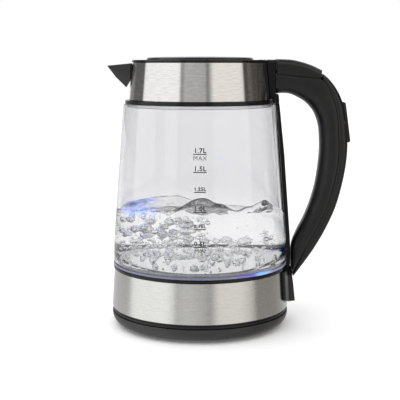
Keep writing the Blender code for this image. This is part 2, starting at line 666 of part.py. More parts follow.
def make_grip(plastic):
    stations = [(*inner, *parting, width) for inner, parting, width in GRIP_STATIONS]
    last = len(stations) - 1
    rows = [spline(stations, position) for position in spaced(0, last, 2 * last + 1)]
    grip = lofted("handle_grip", [channel_section(row[0:2], row[2:4], row[4]) for row in rows], plastic)
    button_bore = rod("button_bore", (BUTTON_AXIS[0], -13.9, BUTTON_AXIS[2]),
                      (BUTTON_AXIS[0], 13.9, BUTTON_AXIS[2]), 1.35, sides=12)
    cut(grip, button_bore)

    backs = [(*parting, *back, width) for (_, parting, width), back in
             zip(GRIP_STATIONS[COVER_START - 1:], COVER_BACK)]
    last = len(backs) - 1
    sections = []
    for position in spaced(1, last, 2 * last - 1):
        row = spline(backs, position)
        parting = Vector(row[0:2])
        back = Vector(row[2:4])
        opened = parting + (back - parting).normalized() * GAP
        sections.append(channel_section(back, opened, row[4], corner=5.0))
    cover = lofted("handle_cover", sections, plastic)
    pocket = side_plate("rocker_pocket", [
        (117.0, 201.9), (140.0, 201.9), (140.0, 164.3), (117.0, 164.3)], ROCKER_WIDTH + 0.5)
    switch_bore = rod("switch_bore", (ROCKER_AXIS[0], -12.9, ROCKER_AXIS[2]),
                      (ROCKER_AXIS[0], 12.9, ROCKER_AXIS[2]), PIN_RADIUS + 0.35, sides=12)
    cut(cover, pocket, switch_bore)
    return grip, cover


def make_button(plastic):
    stations = [(*lower, *top, width) for lower, top, width in BUTTON_STATIONS]
    last = len(stations) - 1
    rows = [spline(stations, position) for position in spaced(0, last, 2 * last + 1)]
    sections = [channel_section(row[2:4], row[0:2], row[4], corner=5.0) for row in rows]
    button = lofted("release_button", sections, plastic)
    for number, side in enumerate((-1, 1), 1):
        near, far = sorted((side * 6.5, side * 10.5))
        lug = block(f"button_lug_{number}", (68.6, near, 216.4), (73.4, far, 237.4))
        add(button, lug)
        near, far = sorted((side * 10.9, side * 12.1))
        skirt = lofted(f"button_skirt_{number}", [[(x, y, z) for x, z in BUTTON_SKIRT] for y in (near, far)])
        add(button, skirt)
    bore = rod("lug_bore", (BUTTON_AXIS[0], -20, BUTTON_AXIS[2]), (BUTTON_AXIS[0], 20, BUTTON_AXIS[2]), 1.35,
               sides=12)
    post = turned("button_post", [(0, 221.0), (2.0, 221.0), (2.0, 234.4), (0, 234.4)],
                  sides=12, centre=(92.0, 0))
    cut(button, bore)
    add(button, post)
    return button


def make_latch(nylon):
    """The slide that holds the lid shut: a bar with a wedge under the button."""
    return side_plate("latch_slider", [
        (LATCH_NOSE, LATCH_LOW), (84.0, LATCH_LOW), (84.0, 232.2), (78.0, LATCH_HIGH),
        (LATCH_NOSE + 1.6, LATCH_HIGH),
    ], LATCH_WIDTH, nylon)


def make_spine(plastic):
    """The strip that carries the handle up the glass, with the hinge bracket at the collar."""
    ring_clear = RING_RADIUS + 0.35
    strip = [(z, glass_radius(z) + 0.35) for z in (*spaced(GLASS_BOTTOM, GLASS_CONE_START, 5), SPINE_TAPER)]
    levels = [(SKIRT_TOP + 0.2, GLASS_FOOT_RADIUS + 0.35, None, SPINE_WIDTH)]
    levels += [(z, radius, None, SPINE_WIDTH) for z, radius in strip]
    levels += [
        (GLASS_TOP - 1.6, glass_radius(GLASS_TOP - 1.6) + 0.35, 70.9, SPINE_WIDTH),
        (RING_BOTTOM, ring_clear + 0.9, 70.4, SPINE_WIDTH),
        (BAND_BOTTOM, ring_clear, 70.2, SPINE_WIDTH + 0.6),
        (BAND_BOTTOM + 0.6, BAND_BOTTOM_RADIUS + 0.4, 70.0, SPINE_WIDTH + 1.0),
        (208.1, band_radius(208.1) + 0.4, 69.4, ROOT_WIDTH - 1.0),
        (208.5, band_radius(208.5) + 0.4, ROOT_BACK, ROOT_WIDTH - 0.9),
        (214.0, band_radius(214.0) + 0.4, ROOT_BACK, ROOT_WIDTH),
        (BAND_TOP, BAND_TOP_RADIUS + 0.6, ROOT_BACK, ROOT_WIDTH),
        (RIM_TOP + 0.1, BAND_TOP_RADIUS + 0.6, ROOT_BACK - 0.4, ROOT_WIDTH - 0.6),
    ]
    sections = []
    for height, inner, back, width in levels:
        back = back or inner + SPINE_THICKNESS
        near = [(math.sqrt(inner ** 2 - y ** 2), y, height) for y in spaced(-width, width, 7)]
        far = [(back - 1.6 * abs(y / width) ** 4, y, height) for y in spaced(width, -width, 7)]
        sections.append(near + far)
    spine = lofted("handle_spine", sections, plastic)
    well = block("hinge_well", (55, -EAR_WIDTH - 0.5, 231.2), (72, EAR_WIDTH + 0.5, 242))
    pin_bore = rod("pin_bore", (HINGE[0], -14.0, HINGE[2]), (HINGE[0], 14.0, HINGE[2]),
                   PIN_RADIUS + 0.35, sides=12)
    latch_slot = block("latch_slot", (55, -5.2, LATCH_LOW - 0.5), (72, 5.2, LATCH_HIGH + 0.5))
    screw_hole = rod("root_screw_hole", (55, 0, UPPER_SCREW_HEIGHT), (72, 0, UPPER_SCREW_HEIGHT), 1.9)
    cut(spine, well, pin_bore, latch_slot, screw_hole)
    return spine


def mount_section(share, rib):
    """A level of the mount, between its curved lower edge and its flat top."""
    def point(angle, thickness):
        lowest = MOUNT_BOTTOM + MOUNT_RISE * (angle / MOUNT_ANGLE) ** 2
        height = blend(lowest, MOUNT_TOP, share)
        radius = skirt_radius(height) + 0.35 + thickness
        return radius * math.cos(angle), radius * math.sin(angle), height
    near = [point(angle, 0) for angle in spaced(-MOUNT_ANGLE, MOUNT_ANGLE, 9)]
    rib_angle = math.asin((RIB_WIDTH + 1.5) / (SKIRT_BOTTOM_RADIUS + MOUNT_THICKNESS))
    far = [point(angle, MOUNT_THICKNESS) for angle in spaced(MOUNT_ANGLE, rib_angle, 4)]
    far.append((rib, RIB_WIDTH, blend(MOUNT_BOTTOM, MOUNT_TOP, share)))
    far += [(x, -y, z) for x, y, z in reversed(far)]
    return near + far


def make_mount(plastic):
    """The foot of the handle: a flange round the skirt with a rib in the middle."""
    mount = lofted("handle_mount", [mount_section(share, rib) for share, rib in MOUNT_LEVELS], plastic)
    cut(mount, rod("mount_screw_hole", (70, 0, LOWER_SCREW_HEIGHT), (84.2, 0, LOWER_SCREW_HEIGHT), 1.9))
    return mount


def make_switch(plastic, nylon):
    rocker = side_plate("switch_rocker", ROCKER_OUTLINE, ROCKER_WIDTH, plastic)
    bore = rod("rocker_bore", (ROCKER_AXIS[0], -10, ROCKER_AXIS[2]), (ROCKER_AXIS[0], 10, ROCKER_AXIS[2]),
               PIN_RADIUS + 0.35, sides=12)
    cut(rocker, bore)
    side_plate("steam_switch", [(112.4, 168.0), (120.4, 168.0), (119.6, 187.0), (111.4, 187.0)], 6.0, nylon)
    return rocker


def make_pins_and_springs(steel):
    def pin(name, place, half_length, radius):
        ends = [(place[0], y, place[2]) for y in (-half_length, half_length)]
        return rod(name, *ends, radius, steel, 12)
    pin("hinge_pin", HINGE, 13.7, PIN_RADIUS)
    pin("button_pin", BUTTON_AXIS, 13.6, 1.0)
    pin("switch_pin", ROCKER_AXIS, 12.6, PIN_RADIUS)
    turns = 4
    angles = spaced(0, 2 * math.pi * turns, 8 * turns + 1)
    coil = []
    for a in angles:
        place = blend(-3.9, 3.9, a / angles[-1])
        coil.append((HINGE[0] + 2.0 * math.cos(a), place, HINGE[2] + 2.0 * math.sin(a)))
    tube("hinge_spring", coil, 0.4, (0, 1, 0), steel, sides=5)
    coil = []
    for a in angles:
        coil.append((92.0 + 2.6 * math.cos(a), 2.6 * math.sin(a), blend(206.9, 220.1, a / angles[-1])))
    tube("button_spring", coil, 0.4, (0, 0, 1), steel, sides=5)


def make_handle_screws(steel, chassis, skirt):
    def screw(name, height, head, shoulder, point):
        shaft = rod(name, (point, 0, height), (blend(shoulder, head, 0.5), 0, height), 1.4, steel, 12)
        cap = rod(name + "_head", (shoulder, 0, height), (head, 0, height), 3.0, sides=12)
        add(shaft, cap)
    screw("handle_screw_upper", UPPER_SCREW_HEIGHT, 69.2, 67.4, 60.6)
    screw("handle_screw_lower", LOWER_SCREW_HEIGHT, 73.0, 74.9, 83.6)
    passage = rod("skirt_screw_hole", (70, 0, LOWER_SCREW_HEIGHT), (84, 0, LOWER_SCREW_HEIGHT), 1.9)
    cut(chassis, passage, solver="MANIFOLD")
    cut(skirt, passage, solver="MANIFOLD")


def build():
    clear_scene()
    black = finish("black_plastic", (0.018, 0.018, 0.019), 0.38)
    base_grey = finish("charcoal_plastic", (0.035, 0.035, 0.037), 0.45)
    brushed = finish("brushed_steel", (0.62, 0.60, 0.57), 0.32, metallic=1.0)
    bright = finish("bright_steel", (0.70, 0.69, 0.67), 0.20, metallic=1.0)
    clear = finish("clear_glass", (0.95, 0.97, 0.98), 0.02, transmission=1.0)
    acrylic = finish("light_acrylic", (0.55, 0.62, 0.95), 0.25, transmission=0.8)
    silicone = finish("silicone", (0.55, 0.55, 0.55), 0.65)
    rubber = finish("rubber", (0.02, 0.02, 0.02), 0.85)
    nylon = finish("nylon", (0.12, 0.12, 0.12), 0.55)
    brass = finish("brass", (0.72, 0.52, 0.22), 0.30, metallic=1.0)
    aluminium = finish("aluminium", (0.75, 0.75, 0.76), 0.40, metallic=1.0)
    board = finish("circuit_board", (0.02, 0.16, 0.06), 0.50)

    make_base(base_grey, rubber, bright, brass, nylon)
    make_socket(nylon, brass)
    _, skirt, chassis = make_jug_bottom(black, brushed)
    make_heater(bright, aluminium, silicone, nylon, brass)
    make_light(acrylic, board)
    make_glass(clear)
    make_collar(black, brushed, silicone)
    make_spout(black)
    make_filter(nylon, bright)
    make_grip(black)
    make_spine(black)
    make_mount(black)
    make_handle_screws(bright, chassis, skirt)
    make_pins_and_springs(bright)

    carry(pivot("lid_pivot", HINGE), *make_lid(black, silicone))
    carry(pivot("button_pivot", BUTTON_AXIS), make_button(black))
    carry(pivot("latch_guide", (LATCH_NOSE, 0.0, LATCH_LOW)), make_latch(nylon))
    carry(pivot("rocker_pivot", ROCKER_AXIS), make_switch(black, nylon))


build()
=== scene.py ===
"""Looks of the glass electric kettle: fine meshes, procedural materials, studio and camera.

Shapes are worked out in millimetres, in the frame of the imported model: +Z up along the jug's axis,
+X to the handle, -X to the spout, -Y to the camera. MM turns them into metres.
"""

import json
import math
import random

import bmesh
import bpy
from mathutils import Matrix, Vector, noise


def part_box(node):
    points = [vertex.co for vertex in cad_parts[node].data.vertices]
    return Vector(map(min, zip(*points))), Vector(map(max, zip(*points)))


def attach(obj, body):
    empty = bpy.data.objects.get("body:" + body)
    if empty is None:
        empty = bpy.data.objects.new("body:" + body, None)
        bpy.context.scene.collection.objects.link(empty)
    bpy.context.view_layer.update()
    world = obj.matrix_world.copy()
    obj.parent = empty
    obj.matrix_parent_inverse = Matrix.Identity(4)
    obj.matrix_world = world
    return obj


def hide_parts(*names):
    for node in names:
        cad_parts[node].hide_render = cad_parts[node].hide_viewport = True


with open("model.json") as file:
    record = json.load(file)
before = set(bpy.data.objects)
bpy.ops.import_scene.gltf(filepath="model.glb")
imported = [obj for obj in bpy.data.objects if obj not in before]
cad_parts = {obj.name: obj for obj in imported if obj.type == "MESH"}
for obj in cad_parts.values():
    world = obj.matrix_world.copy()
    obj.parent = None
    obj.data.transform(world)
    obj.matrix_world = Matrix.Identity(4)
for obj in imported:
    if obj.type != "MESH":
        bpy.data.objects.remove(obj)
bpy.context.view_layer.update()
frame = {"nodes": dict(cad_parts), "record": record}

MM = 0.001
FINE = 192          # sides of the large turned pieces
MEDIUM = 96         # of the smaller ones inside
SMALL = 48          # of screws, pins and feet
SHARP_ANGLE = math.radians(32)
FILLET_STEPS = 4
GAP = 0.3           # between neighbouring pieces, so that they never touch
WALL_GAP = 0.35     # the same where a piece follows the slope of a wall
WHITE = (1.0, 1.0, 1.0)
WATER_IOR = 1.25
PAINTED_GLOW_X, PAINTED_GLOW_Z = -56.0, 110.0         # middle of the blue glow painted into the water


def span(node):
    """Outer radius, lowest and highest point of a turned CAD node, in millimetres."""
    low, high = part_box(node)
    return high.x / MM, low.z / MM, high.z / MM


# ----------------------------------------------------------------------------------- materials

def tinted(colour, share):
    """A grey or a colour, made darker or lighter."""
    colour = colour if hasattr(colour, "__len__") else (colour, colour, colour)
    return tuple(value * share for value in colour)


class Nodes:
    """A tree of shader nodes, with short ways to build procedural detail."""

    def __init__(self, tree):
        self.tree = tree

    def node(self, kind, **settings):
        made = self.tree.nodes.new("ShaderNode" + kind)
        for key, value in settings.items():
            setattr(made, key, value)
        return made

    def link(self, start, end):
        self.tree.links.new(start, end)

    def made(self, kind, inputs, output=0, **settings):
        """An output of a new node; its inputs get links or plain values."""
        node = self.node(kind, **settings)
        for key, value in inputs.items():
            if hasattr(value, "is_linked"):
                self.link(value, node.inputs[key])
            else:
                node.inputs[key].default_value = value
        return node.outputs[output]

    def math(self, operation, first, second=0.0):
        return self.made("Math", {0: first, 1: second}, operation=operation)

    def axes(self, vector):
        split = self.node("SeparateXYZ")
        self.link(vector, split.inputs[0])
        return split.outputs

    def combine(self, x, y, z):
        return self.made("CombineXYZ", {0: x, 1: y, 2: z})

    def noise(self, vector, scale, detail=3.0, roughness=0.5):
        settings = {"Vector": vector, "Scale": scale, "Detail": detail, "Roughness": roughness}
        return self.made("TexNoise", settings)

    def mix(self, share, first, second):
        """A blend of two colours."""
        return self.made("Mix", {"Factor": share, 6: first, 7: second}, 2, data_type="RGBA")

    def scaled(self, vector, factor):
        return self.made("VectorMath", {0: vector, "Scale": factor}, operation="SCALE")

    def rise(self, value, start, end):
        """0 up to the start, then evenly up to 1 at the end."""
        return self.made("MapRange", {"Value": value, "From Min": start, "From Max": end})

    def ramp(self, value, *stops):
        """A colour ramp from (place, grey or colour) stops."""
        made = self.node("ValToRGB")
        self.link(value, made.inputs[0])
        elements = made.color_ramp.elements
        while len(elements) < len(stops):
            elements.new(0.5)
        for element, (place, colour) in zip(elements, stops):
            element.position = place
            element.color = (*tinted(colour, 1), 1.0)
        return made.outputs[0]


class Shader(Nodes):
    """A Principled material; point, x, y and z are the place in the object's own metres."""

    def __init__(self, name, colour, roughness, metallic=0.0, **inputs):
        self.material = bpy.data.materials.new(name)
        self.material.use_nodes = True
        super().__init__(self.material.node_tree)
        self.bsdf = self.tree.nodes["Principled BSDF"]
        self.colour, self.roughness = colour, roughness
        self.set("Base Color", (*colour, 1.0))
        self.set("Roughness", roughness)
        self.set("Metallic", metallic)
        for key, value in inputs.items():
            self.set(key.replace("_", " ").title().replace("Ior", "IOR"), value)
        self.point = self.node("TexCoord").outputs["Object"]
        self.x, self.y, self.z = self.axes(self.point)

    def set(self, socket, value):
        self.bsdf.inputs[socket].default_value = value

    def vary(self, socket, pattern, *stops):
        """Drives a socket by a pattern through a ramp."""
        self.link(self.ramp(pattern, *stops), self.bsdf.inputs[socket])

    def mottle(self, pattern, *stops):
        """Makes the colour darker and lighter over a pattern, by (place, share) stops."""
        self.vary("Base Color", pattern, *[(place, tinted(self.colour, share)) for place, share in stops])

    def wear(self, pattern, *stops):
        """Makes the finish smoother and rougher over a pattern, by (place, change) stops."""
        self.vary("Roughness", pattern, *[(place, self.roughness + change) for place, change in stops])

    def bump(self, height, strength, distance):
        normal = self.made("Bump", {"Height": height, "Strength": strength, "Distance": distance})
        self.link(normal, self.bsdf.inputs["Normal"])


def moulded_plastic(name, colour, roughness, grain=2200.0, bump=0.10, gloss=0.4):
    """Moulded plastic: fine spark-eroded grain, and faint wear in colour and gloss."""
    shader = Shader(name, colour, roughness, specular_ior_level=gloss)
    broad = shader.noise(shader.point, 60.0, 4.0)
    shader.mottle(broad, (0.3, 0.82), (0.7, 1.2))
    shader.wear(broad, (0.25, -0.05), (0.75, 0.05))
    shader.bump(shader.noise(shader.point, grain, 2.0), bump, 0.0001)
    return shader.material


def brushed_steel(name, colour, roughness, stretch, contrast):
    """Steel brushed round the jug's axis: long streaks, a highlight drawn out across them."""
    shader = Shader(name, colour, roughness, metallic=1.0, anisotropic=stretch, anisotropic_rotation=0.25)
    turn = shader.math("MULTIPLY", shader.math("ARCTAN2", shader.y, shader.x), 9.0)

    def streaks(offset, fineness, *detail):
        along = shader.math("MULTIPLY", shader.z, fineness)
        return shader.math("MULTIPLY", shader.noise(shader.combine(turn, offset, along), 1.0, *detail), 0.5)

    mix = shader.math("ADD", streaks(0.0, 4200.0, 4.0, 0.6), streaks(3.0, 900.0, 3.0, 0.65))
    shader.mottle(mix, (0.32, 1 - contrast), (0.68, 1 + 0.5 * contrast))
    shader.wear(mix, (0.3, -0.03), (0.7, 0.04))
    shader.bump(mix, 0.15, 0.0001)
    tangent = shader.node("Tangent", direction_type="RADIAL", axis="Z")
    shader.link(tangent.outputs[0], shader.bsdf.inputs["Tangent"])
    return shader.material


def plain_metal(name, colour, roughness):
    """Small bright metal: slight stains and fine scratches."""
    shader = Shader(name, colour, roughness, metallic=1.0)
    stain = shader.noise(shader.point, 220.0, 4.0)
    shader.mottle(stain, (0.3, 0.8), (0.7, 1.1))
    shader.wear(stain, (0.3, -0.06), (0.7, 0.08))
    shader.bump(shader.noise(shader.point, 1500.0, 3.0), 0.06, 0.0001)
    return shader.material


def soft_rubber(name, colour, roughness):
    """Rubber or silicone: dull, with a dusty bloom."""
    shader = Shader(name, colour, roughness, sheen_weight=0.15)
    shader.mottle(shader.noise(shader.point, 160.0, 5.0), (0.35, 0.85), (0.7, 1.25))
    shader.bump(shader.noise(shader.point, 900.0, 3.0), 0.15, 0.0002)
    return shader.material


def borosilicate(name, clear, painted_shade_above_water):
    """Clear glass with barely visible waves from blowing; above the water its colour is darker, a painted
    shade.
    """
    shader = Shader(name, painted_shade_above_water, 0.0, transmission_weight=1.0, ior=1.47)
    along = shader.math("MULTIPLY", shader.z, 0.35)
    shader.bump(shader.noise(shader.combine(shader.x, shader.y, along), 14.0, 1.0), 0.10, 0.0006)
    height = shader.math("DIVIDE", shader.z, 200 * MM)
    # Painted shade: the glass's colour is darker above the water than below it.
    shader.vary("Base Color", height, (0.50, clear), (0.60, painted_shade_above_water))
    return shader.material


def water():
    """Boiling water, with a painted blue glow at its surface at the left: blue colour and emission, though
    the water is no lamp.
    """
    shader = Shader("water", WHITE, 0.0, transmission_weight=1.0, ior=WATER_IOR)
    away = 0.0
    for place, middle, reach in ((shader.x, PAINTED_GLOW_X, 24), (shader.z, PAINTED_GLOW_Z, 5)):
        offset = shader.math("DIVIDE", shader.math("SUBTRACT", place, middle * MM), reach * MM)
        away = shader.math("ADD", shader.math("POWER", offset, 2.0), away)
    near = shader.ramp(away, (0.0, 1.0), (1.0, 0.0))
    patches = shader.ramp(shader.noise(shader.point, 110.0, 2.0), (0.35, 0.3), (0.6, 1.0))
    weight = shader.math("MULTIPLY", near, patches)
    # Painted glow: over a patchy spot near the surface at the left, the water's colour turns blue and it
    # emits blue light.
    shader.vary("Base Color", weight, (0.0, WHITE), (1.0, (0.36, 0.46, 1.0)))
    shader.link(shader.math("MULTIPLY", weight, 0.85), shader.bsdf.inputs["Emission Strength"])
    shader.set("Emission Color", (0.12, 0.25, 1.0, 1.0))
    return shader.material


def steam():
    """Walls of the steam bubbles: the same water, blurred by the smallest bubbles."""
    shader = Shader("steam_bubbles", WHITE, 0.2, transmission_weight=1.0, ior=WATER_IOR)
    shader.wear(shader.noise(shader.point, 180.0), (0.35, -0.10), (0.65, 0.14))
    return shader.material


def clear_silicone():
    """Milky, see-through silicone of the seal between glass and collar."""
    shader = Shader("clear_silicone", (0.96, 0.96, 0.97), 0.35, transmission_weight=0.9, ior=1.15)
    shader.wear(shader.noise(shader.point, 300.0), (0.3, -0.05), (0.7, 0.10))
    return shader.material


def light_acrylic(name, colour, roughness):
    """The clear ring under the glass, lit from inside by a blue lamp at the right of the front."""
    shader = Shader(name, colour, roughness, transmission_weight=0.35, ior=1.49)
    around = shader.math("DIVIDE", shader.math("ARCTAN2", shader.y, shader.x), 2 * math.pi)
    turn = shader.math("ADD", around, 0.5)
    deep, cyan, lavender = (0.05, 0.03, 0.50), (0.16, 0.42, 0.90), (0.40, 0.40, 0.55)
    shader.vary("Emission Color", turn, (0.0, lavender), (0.30, lavender), (0.32, deep), (0.35, deep),
                (0.362, cyan), (0.38, cyan), (0.40, lavender), (1.0, lavender))
    shader.vary("Emission Strength", turn, (0.0, 0.06), (0.16, 0.02), (0.30, 0.02), (0.32, 0.3), (0.35, 0.6),
                (0.362, 0.8), (0.38, 0.8), (0.40, 0.25), (0.5, 0.06), (1.0, 0.06))
    return shader.material


def speckled(name, colour, roughness, scale, detail, *stops):
    """Paint, ink or lacquer with a pattern of its own greys or colours."""
    shader = Shader(name, colour, roughness)
    shader.vary("Base Color", shader.noise(shader.point, scale, detail), *stops)
    return shader.material


# A darker copy of the black plastic for the spine: painted shade, where the spine looks darker than the rest
# of the handle.
SHADED_SPINE_PLASTIC = moulded_plastic("spine_plastic_painted_shade", (0.0028, 0.0028, 0.003), 0.38, gloss=0.2)
SKIRT_STEEL = brushed_steel("brushed_steel_skirt", (0.67, 0.665, 0.65), 0.26, 0.9, 0.14)
FINISHES = {
    "charcoal_plastic": (moulded_plastic, (0.026, 0.026, 0.027), 0.42, 1500.0, 0.16),
    "black_plastic": (moulded_plastic, (0.0045, 0.0045, 0.0048), 0.32),
    "gloss_black": (moulded_plastic, (0.004, 0.004, 0.0045), 0.14, 900.0, 0.03, 0.3),
    "brushed_steel": (brushed_steel, (0.70, 0.69, 0.68), 0.15, 1.0, 0.2),
    "bright_steel": (plain_metal, (0.66, 0.65, 0.63), 0.24),
    "clear_glass": (borosilicate, (0.84, 0.84, 0.845), (0.77, 0.77, 0.782)),
    "light_acrylic": (light_acrylic, (0.25, 0.25, 0.38), 0.12),
    "silicone": (soft_rubber, (0.62, 0.62, 0.63), 0.55),
    "rubber": (soft_rubber, (0.022, 0.022, 0.022), 0.8),
    "nylon": (moulded_plastic, (0.10, 0.10, 0.10), 0.5, 1200.0, 0.12),
    "brass": (plain_metal, (0.72, 0.50, 0.20), 0.28),
    "aluminium": (plain_metal, (0.72, 0.72, 0.73), 0.38),
    "circuit_board": (speckled, (0.02, 0.16, 0.06), 0.45, 500.0, 1.0,
                      (0.48, (0.015, 0.13, 0.05)), (0.52, (0.03, 0.22, 0.09))),
}
MATERIALS = {name: make(name, *values) for name, (make, *values) in FINISHES.items()}


def paint_cad_nodes():
    """Gives each CAD node the material of its slot; those that are replaced keep it too."""
    for part in frame["record"]["subparts"]:
        mesh = frame["nodes"][part["node"]].data
        mesh.materials.clear()
        mesh.materials.append(MATERIALS[part["material_slot"]])


# ------------------------------------------------------------------------------- mesh helpers

def settle(obj, body, slot, *nodes, material=None):
    """Gives a piece its finish, hangs it on its body and hides the CAD nodes that it stands for."""
    obj.data.materials.clear()
    obj.data.materials.append(material or MATERIALS[slot])
    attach(obj, body)
    if nodes:
        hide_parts(*nodes)


def linked(name, data):
    """A new object in the scene."""
    obj = bpy.data.objects.new(name, data)
    bpy.context.scene.collection.objects.link(obj)
    return obj


def smooth_over(mesh):
    mesh.shade_smooth()
    mesh.set_sharp_from_angle(angle=SHARP_ANGLE)


def object_from(name, bm, smooth=True, recalculate=True):
    """An object from a bmesh, which is used up; its face normals are turned outwards first."""
    if recalculate:
        bmesh.ops.recalc_face_normals(bm, faces=bm.faces)
    mesh = bpy.data.meshes.new(name)
    bm.to_mesh(mesh)
    bm.free()
    if smooth:
        smooth_over(mesh)
    return linked(name, mesh)


def even_normals(obj):
    """Keeps broad flat faces flat beside their rounded edges."""
    modifier = obj.modifiers.new("even_normals", "WEIGHTED_NORMAL")
    modifier.keep_sharp = True
    return obj


def blend(low, high, share):
    return low + (high - low) * share


def eased(share):
    """A share from 0 to 1 that starts and stops gently."""
    share = min(1.0, max(0.0, share))
    return share * share * (3 - 2 * share)


def spaced(start, end, count):
    return [blend(start, end, index / (count - 1)) for index in range(count)]


def bearings(sides):
    return [2 * math.pi * side / sides for side in range(sides)]


def around(radius, angle):
    return radius * math.cos(angle), radius * math.sin(angle)


def polar(radius, degrees):
    return around(radius, math.radians(degrees))


def fillet(outline, radius, steps=FILLET_STEPS):
    """Rounds the corners of a closed outline; a corner may carry its own radius as a third value."""
    rounded = []
    count = len(outline)
    for index, corner in enumerate(outline):
        here = Vector(corner[:2])
        before = Vector(outline[index - 1][:2])
        after = Vector(outline[(index + 1) % count][:2])
        reach = corner[2] if len(corner) > 2 else radius
        reach = min(reach, 0.45 * (before - here).length, 0.45 * (after - here).length)
        if reach <= 0 or here.x == 0:
            rounded.append(tuple(here))
            continue
        start = here + (before - here).normalized() * reach
        end = here + (after - here).normalized() * reach
        for share in spaced(0, 1, steps + 1):
            point = start * (1 - share) ** 2 + here * 2 * share * (1 - share) + end * share ** 2
            rounded.append(tuple(point))
    return rounded


def skin(bm, rows):
    """Faces between neighbouring rows of vertices, each row a closed round."""
    for row, following in zip(rows, rows[1:]):
        for index in range(len(row)):
            after = (index + 1) % len(row)
            corners = dict.fromkeys((row[index], row[after], following[after], following[index]))
            if len(corners) > 2:
                bm.faces.new(list(corners))


def turned(name, outline, edge=0.3, sides=FINE, centre=(0.0, 0.0)):
    """A solid turned about a vertical line from a closed outline of (radius, height)."""
    bm = bmesh.new()
    rings = []
    for radius, height in fillet(outline, edge):
        points = [(0.0, 0.0)] if radius < 1e-6 else [around(radius, a) for a in bearings(sides)]
        ring = [bm.verts.new(((centre[0] + x) * MM, (centre[1] + y) * MM, height * MM)) for x, y in points]
        rings.append(ring if len(ring) == sides else ring * sides)
    skin(bm, rings + rings[:1])
    return even_normals(object_from(name, bm))


def box_outline(inner, outer, low, high):
    """Outline of a plain ring or disc."""
    return [(inner, low), (outer, low), (outer, high), (inner, high)]


def lofted(name, sections, smooth=True):
    """A solid skinned over closed sections that have the same number of points."""
    bm = bmesh.new()
    rows = [[bm.verts.new(Vector(point) * MM) for point in section] for section in sections]
    skin(bm, rows)
    bm.faces.new(rows[0])
    bm.faces.new(rows[-1])
    return object_from(name, bm, smooth)


def shrink(outline, inset):
    """Moves the points of a closed outline inwards, whichever way round it runs."""
    count = len(outline)
    area = sum(a[0] * b[1] - b[0] * a[1] for a, b in zip(outline, outline[1:] + outline[:1]))
    turn = 1 if area > 0 else -1
    moved = []
    for index, point in enumerate(outline):
        along = Vector(outline[(index + 1) % count]) - Vector(outline[index - 1])
        along.normalize()
        moved.append((point[0] - turn * along.y * inset, point[1] + turn * along.x * inset))
    return moved


def side_plate(name, outline, half_width, edge=0.6):
    """An outline of (x, z) made thick to both sides of y = 0, its rim rounded over."""
    sections = []
    for inset, y in ((edge, -half_width), (0.3 * edge, 0.3 * edge - half_width), (0, edge - half_width)):
        sections.append([(x, y, z) for x, z in shrink(outline, inset)])
    sections += [[(x, -y, z) for x, y, z in section] for section in reversed(sections)]
    return lofted(name, sections)


def block(name, low, high):
    corners = box_outline(low[0], high[0], low[1], high[1])
    return lofted(name, [[(x, y, z) for x, y in corners] for z in (low[2], high[2])], smooth=False)


def circle(centre, across, up, radius, sides):
    return [centre + radius * (across * math.cos(a) + up * math.sin(a)) for a in bearings(sides)]


def rod(name, start, end, radius, sides=SMALL, edge=0.2):
    """A round bar with its two ends broken."""
    start, end = Vector(start), Vector(end)
    along = (end - start).normalized()
    across = along.orthogonal().normalized()
    stations = ((start, radius - edge), (start + along * edge, radius), (end - along * edge, radius),
                (end, radius - edge))
    return lofted(name, [circle(point, across, along.cross(across), r, sides) for point, r in stations])


def crossbar(name, axis, half_length, radius, edge=0.0):
    """A bar along Y through a point, or the tool for its bore."""
    return rod(name, (axis.x, -half_length, axis.z), (axis.x, half_length, axis.z), radius, edge=edge)


def wire(name, path, radius, axis, sides=10):
    """A round wire along a path that winds about an axis."""
    path = [Vector(point) for point in path]
    sections = []
    for index, point in enumerate(path):
        tangent = path[min(index + 1, len(path) - 1)] - path[max(index - 1, 0)]
        across = tangent.cross(Vector(axis)).normalized()
        sections.append(circle(point, across, across.cross(tangent).normalized(), radius, sides))
    return lofted(name, sections)


def carve(target, *tools, operation="DIFFERENCE"):
    """Cuts or adds helper shapes for good, and removes the helpers."""
    for tool in tools:
        modifier = target.modifiers.new("carve", "BOOLEAN")
        modifier.operation = operation
        modifier.solver = "EXACT"
        modifier.object = tool
        with bpy.context.temp_override(object=target, active_object=target):
            bpy.ops.object.modifier_move_to_index(modifier=modifier.name, index=0)
            bpy.ops.object.modifier_apply(modifier=modifier.name)
        bpy.data.objects.remove(tool)
    smooth_over(target.data)


def joined(name, pieces):
    """One object from several meshes that don't touch."""
    bm = bmesh.new()
    for piece in pieces:
        bm.from_mesh(piece.data)
        bpy.data.objects.remove(piece)
    return object_from(name, bm, recalculate=False)


def spline(points, position):
    """Catmull-Rom value of a list of equal tuples at a position counted in list places."""
    last = len(points) - 1
    index = min(int(position), last - 1)
    share = position - index
    before, start, end, beyond = (points[min(max(index + step, 0), last)] for step in (-1, 0, 1, 2))
    values = []
    for a, b, c, d in zip(before, start, end, beyond):
        cubic = (3 * (b - c) + d - a) * share ** 3
        square = (2 * a - 5 * b + 4 * c - d) * share ** 2
        values.append(b + 0.5 * (cubic + square + (c - a) * share))
    return values


def smooth_rows(stations, first=0):
    """Rows of a spline through stations, from one of them to the last."""
    last = len(stations) - 1
    count = SECTIONS_PER_STATION * (last - first) + 1
    return [spline(stations, position) for position in spaced(first, last, count)]


def middle_of(node):
    """Centre of a CAD node's box, in millimetres."""
    low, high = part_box(node)
    return (low + high) / 2 / MM


# ---------------------------------------------------------------------------------- power base

BASE_RADIUS, BASE_LOW, BASE_TOP = span("base_shell")
EDGE_WIDTH, EDGE_HEIGHT = 12.0, 11.6
BASE_WALL = 2.2
COVER_RADIUS, _, _ = span("base_bottom_cover")
POST_RADIUS = 15.4
POST_TOP = span("base_connector")[2]
SCREW_CIRCLE, SCREW_BEARINGS = 46.0, (90, 210, 330)
FOOT_CIRCLE, FOOT_BEARINGS = 60.0, (45, 135, 225, 315)


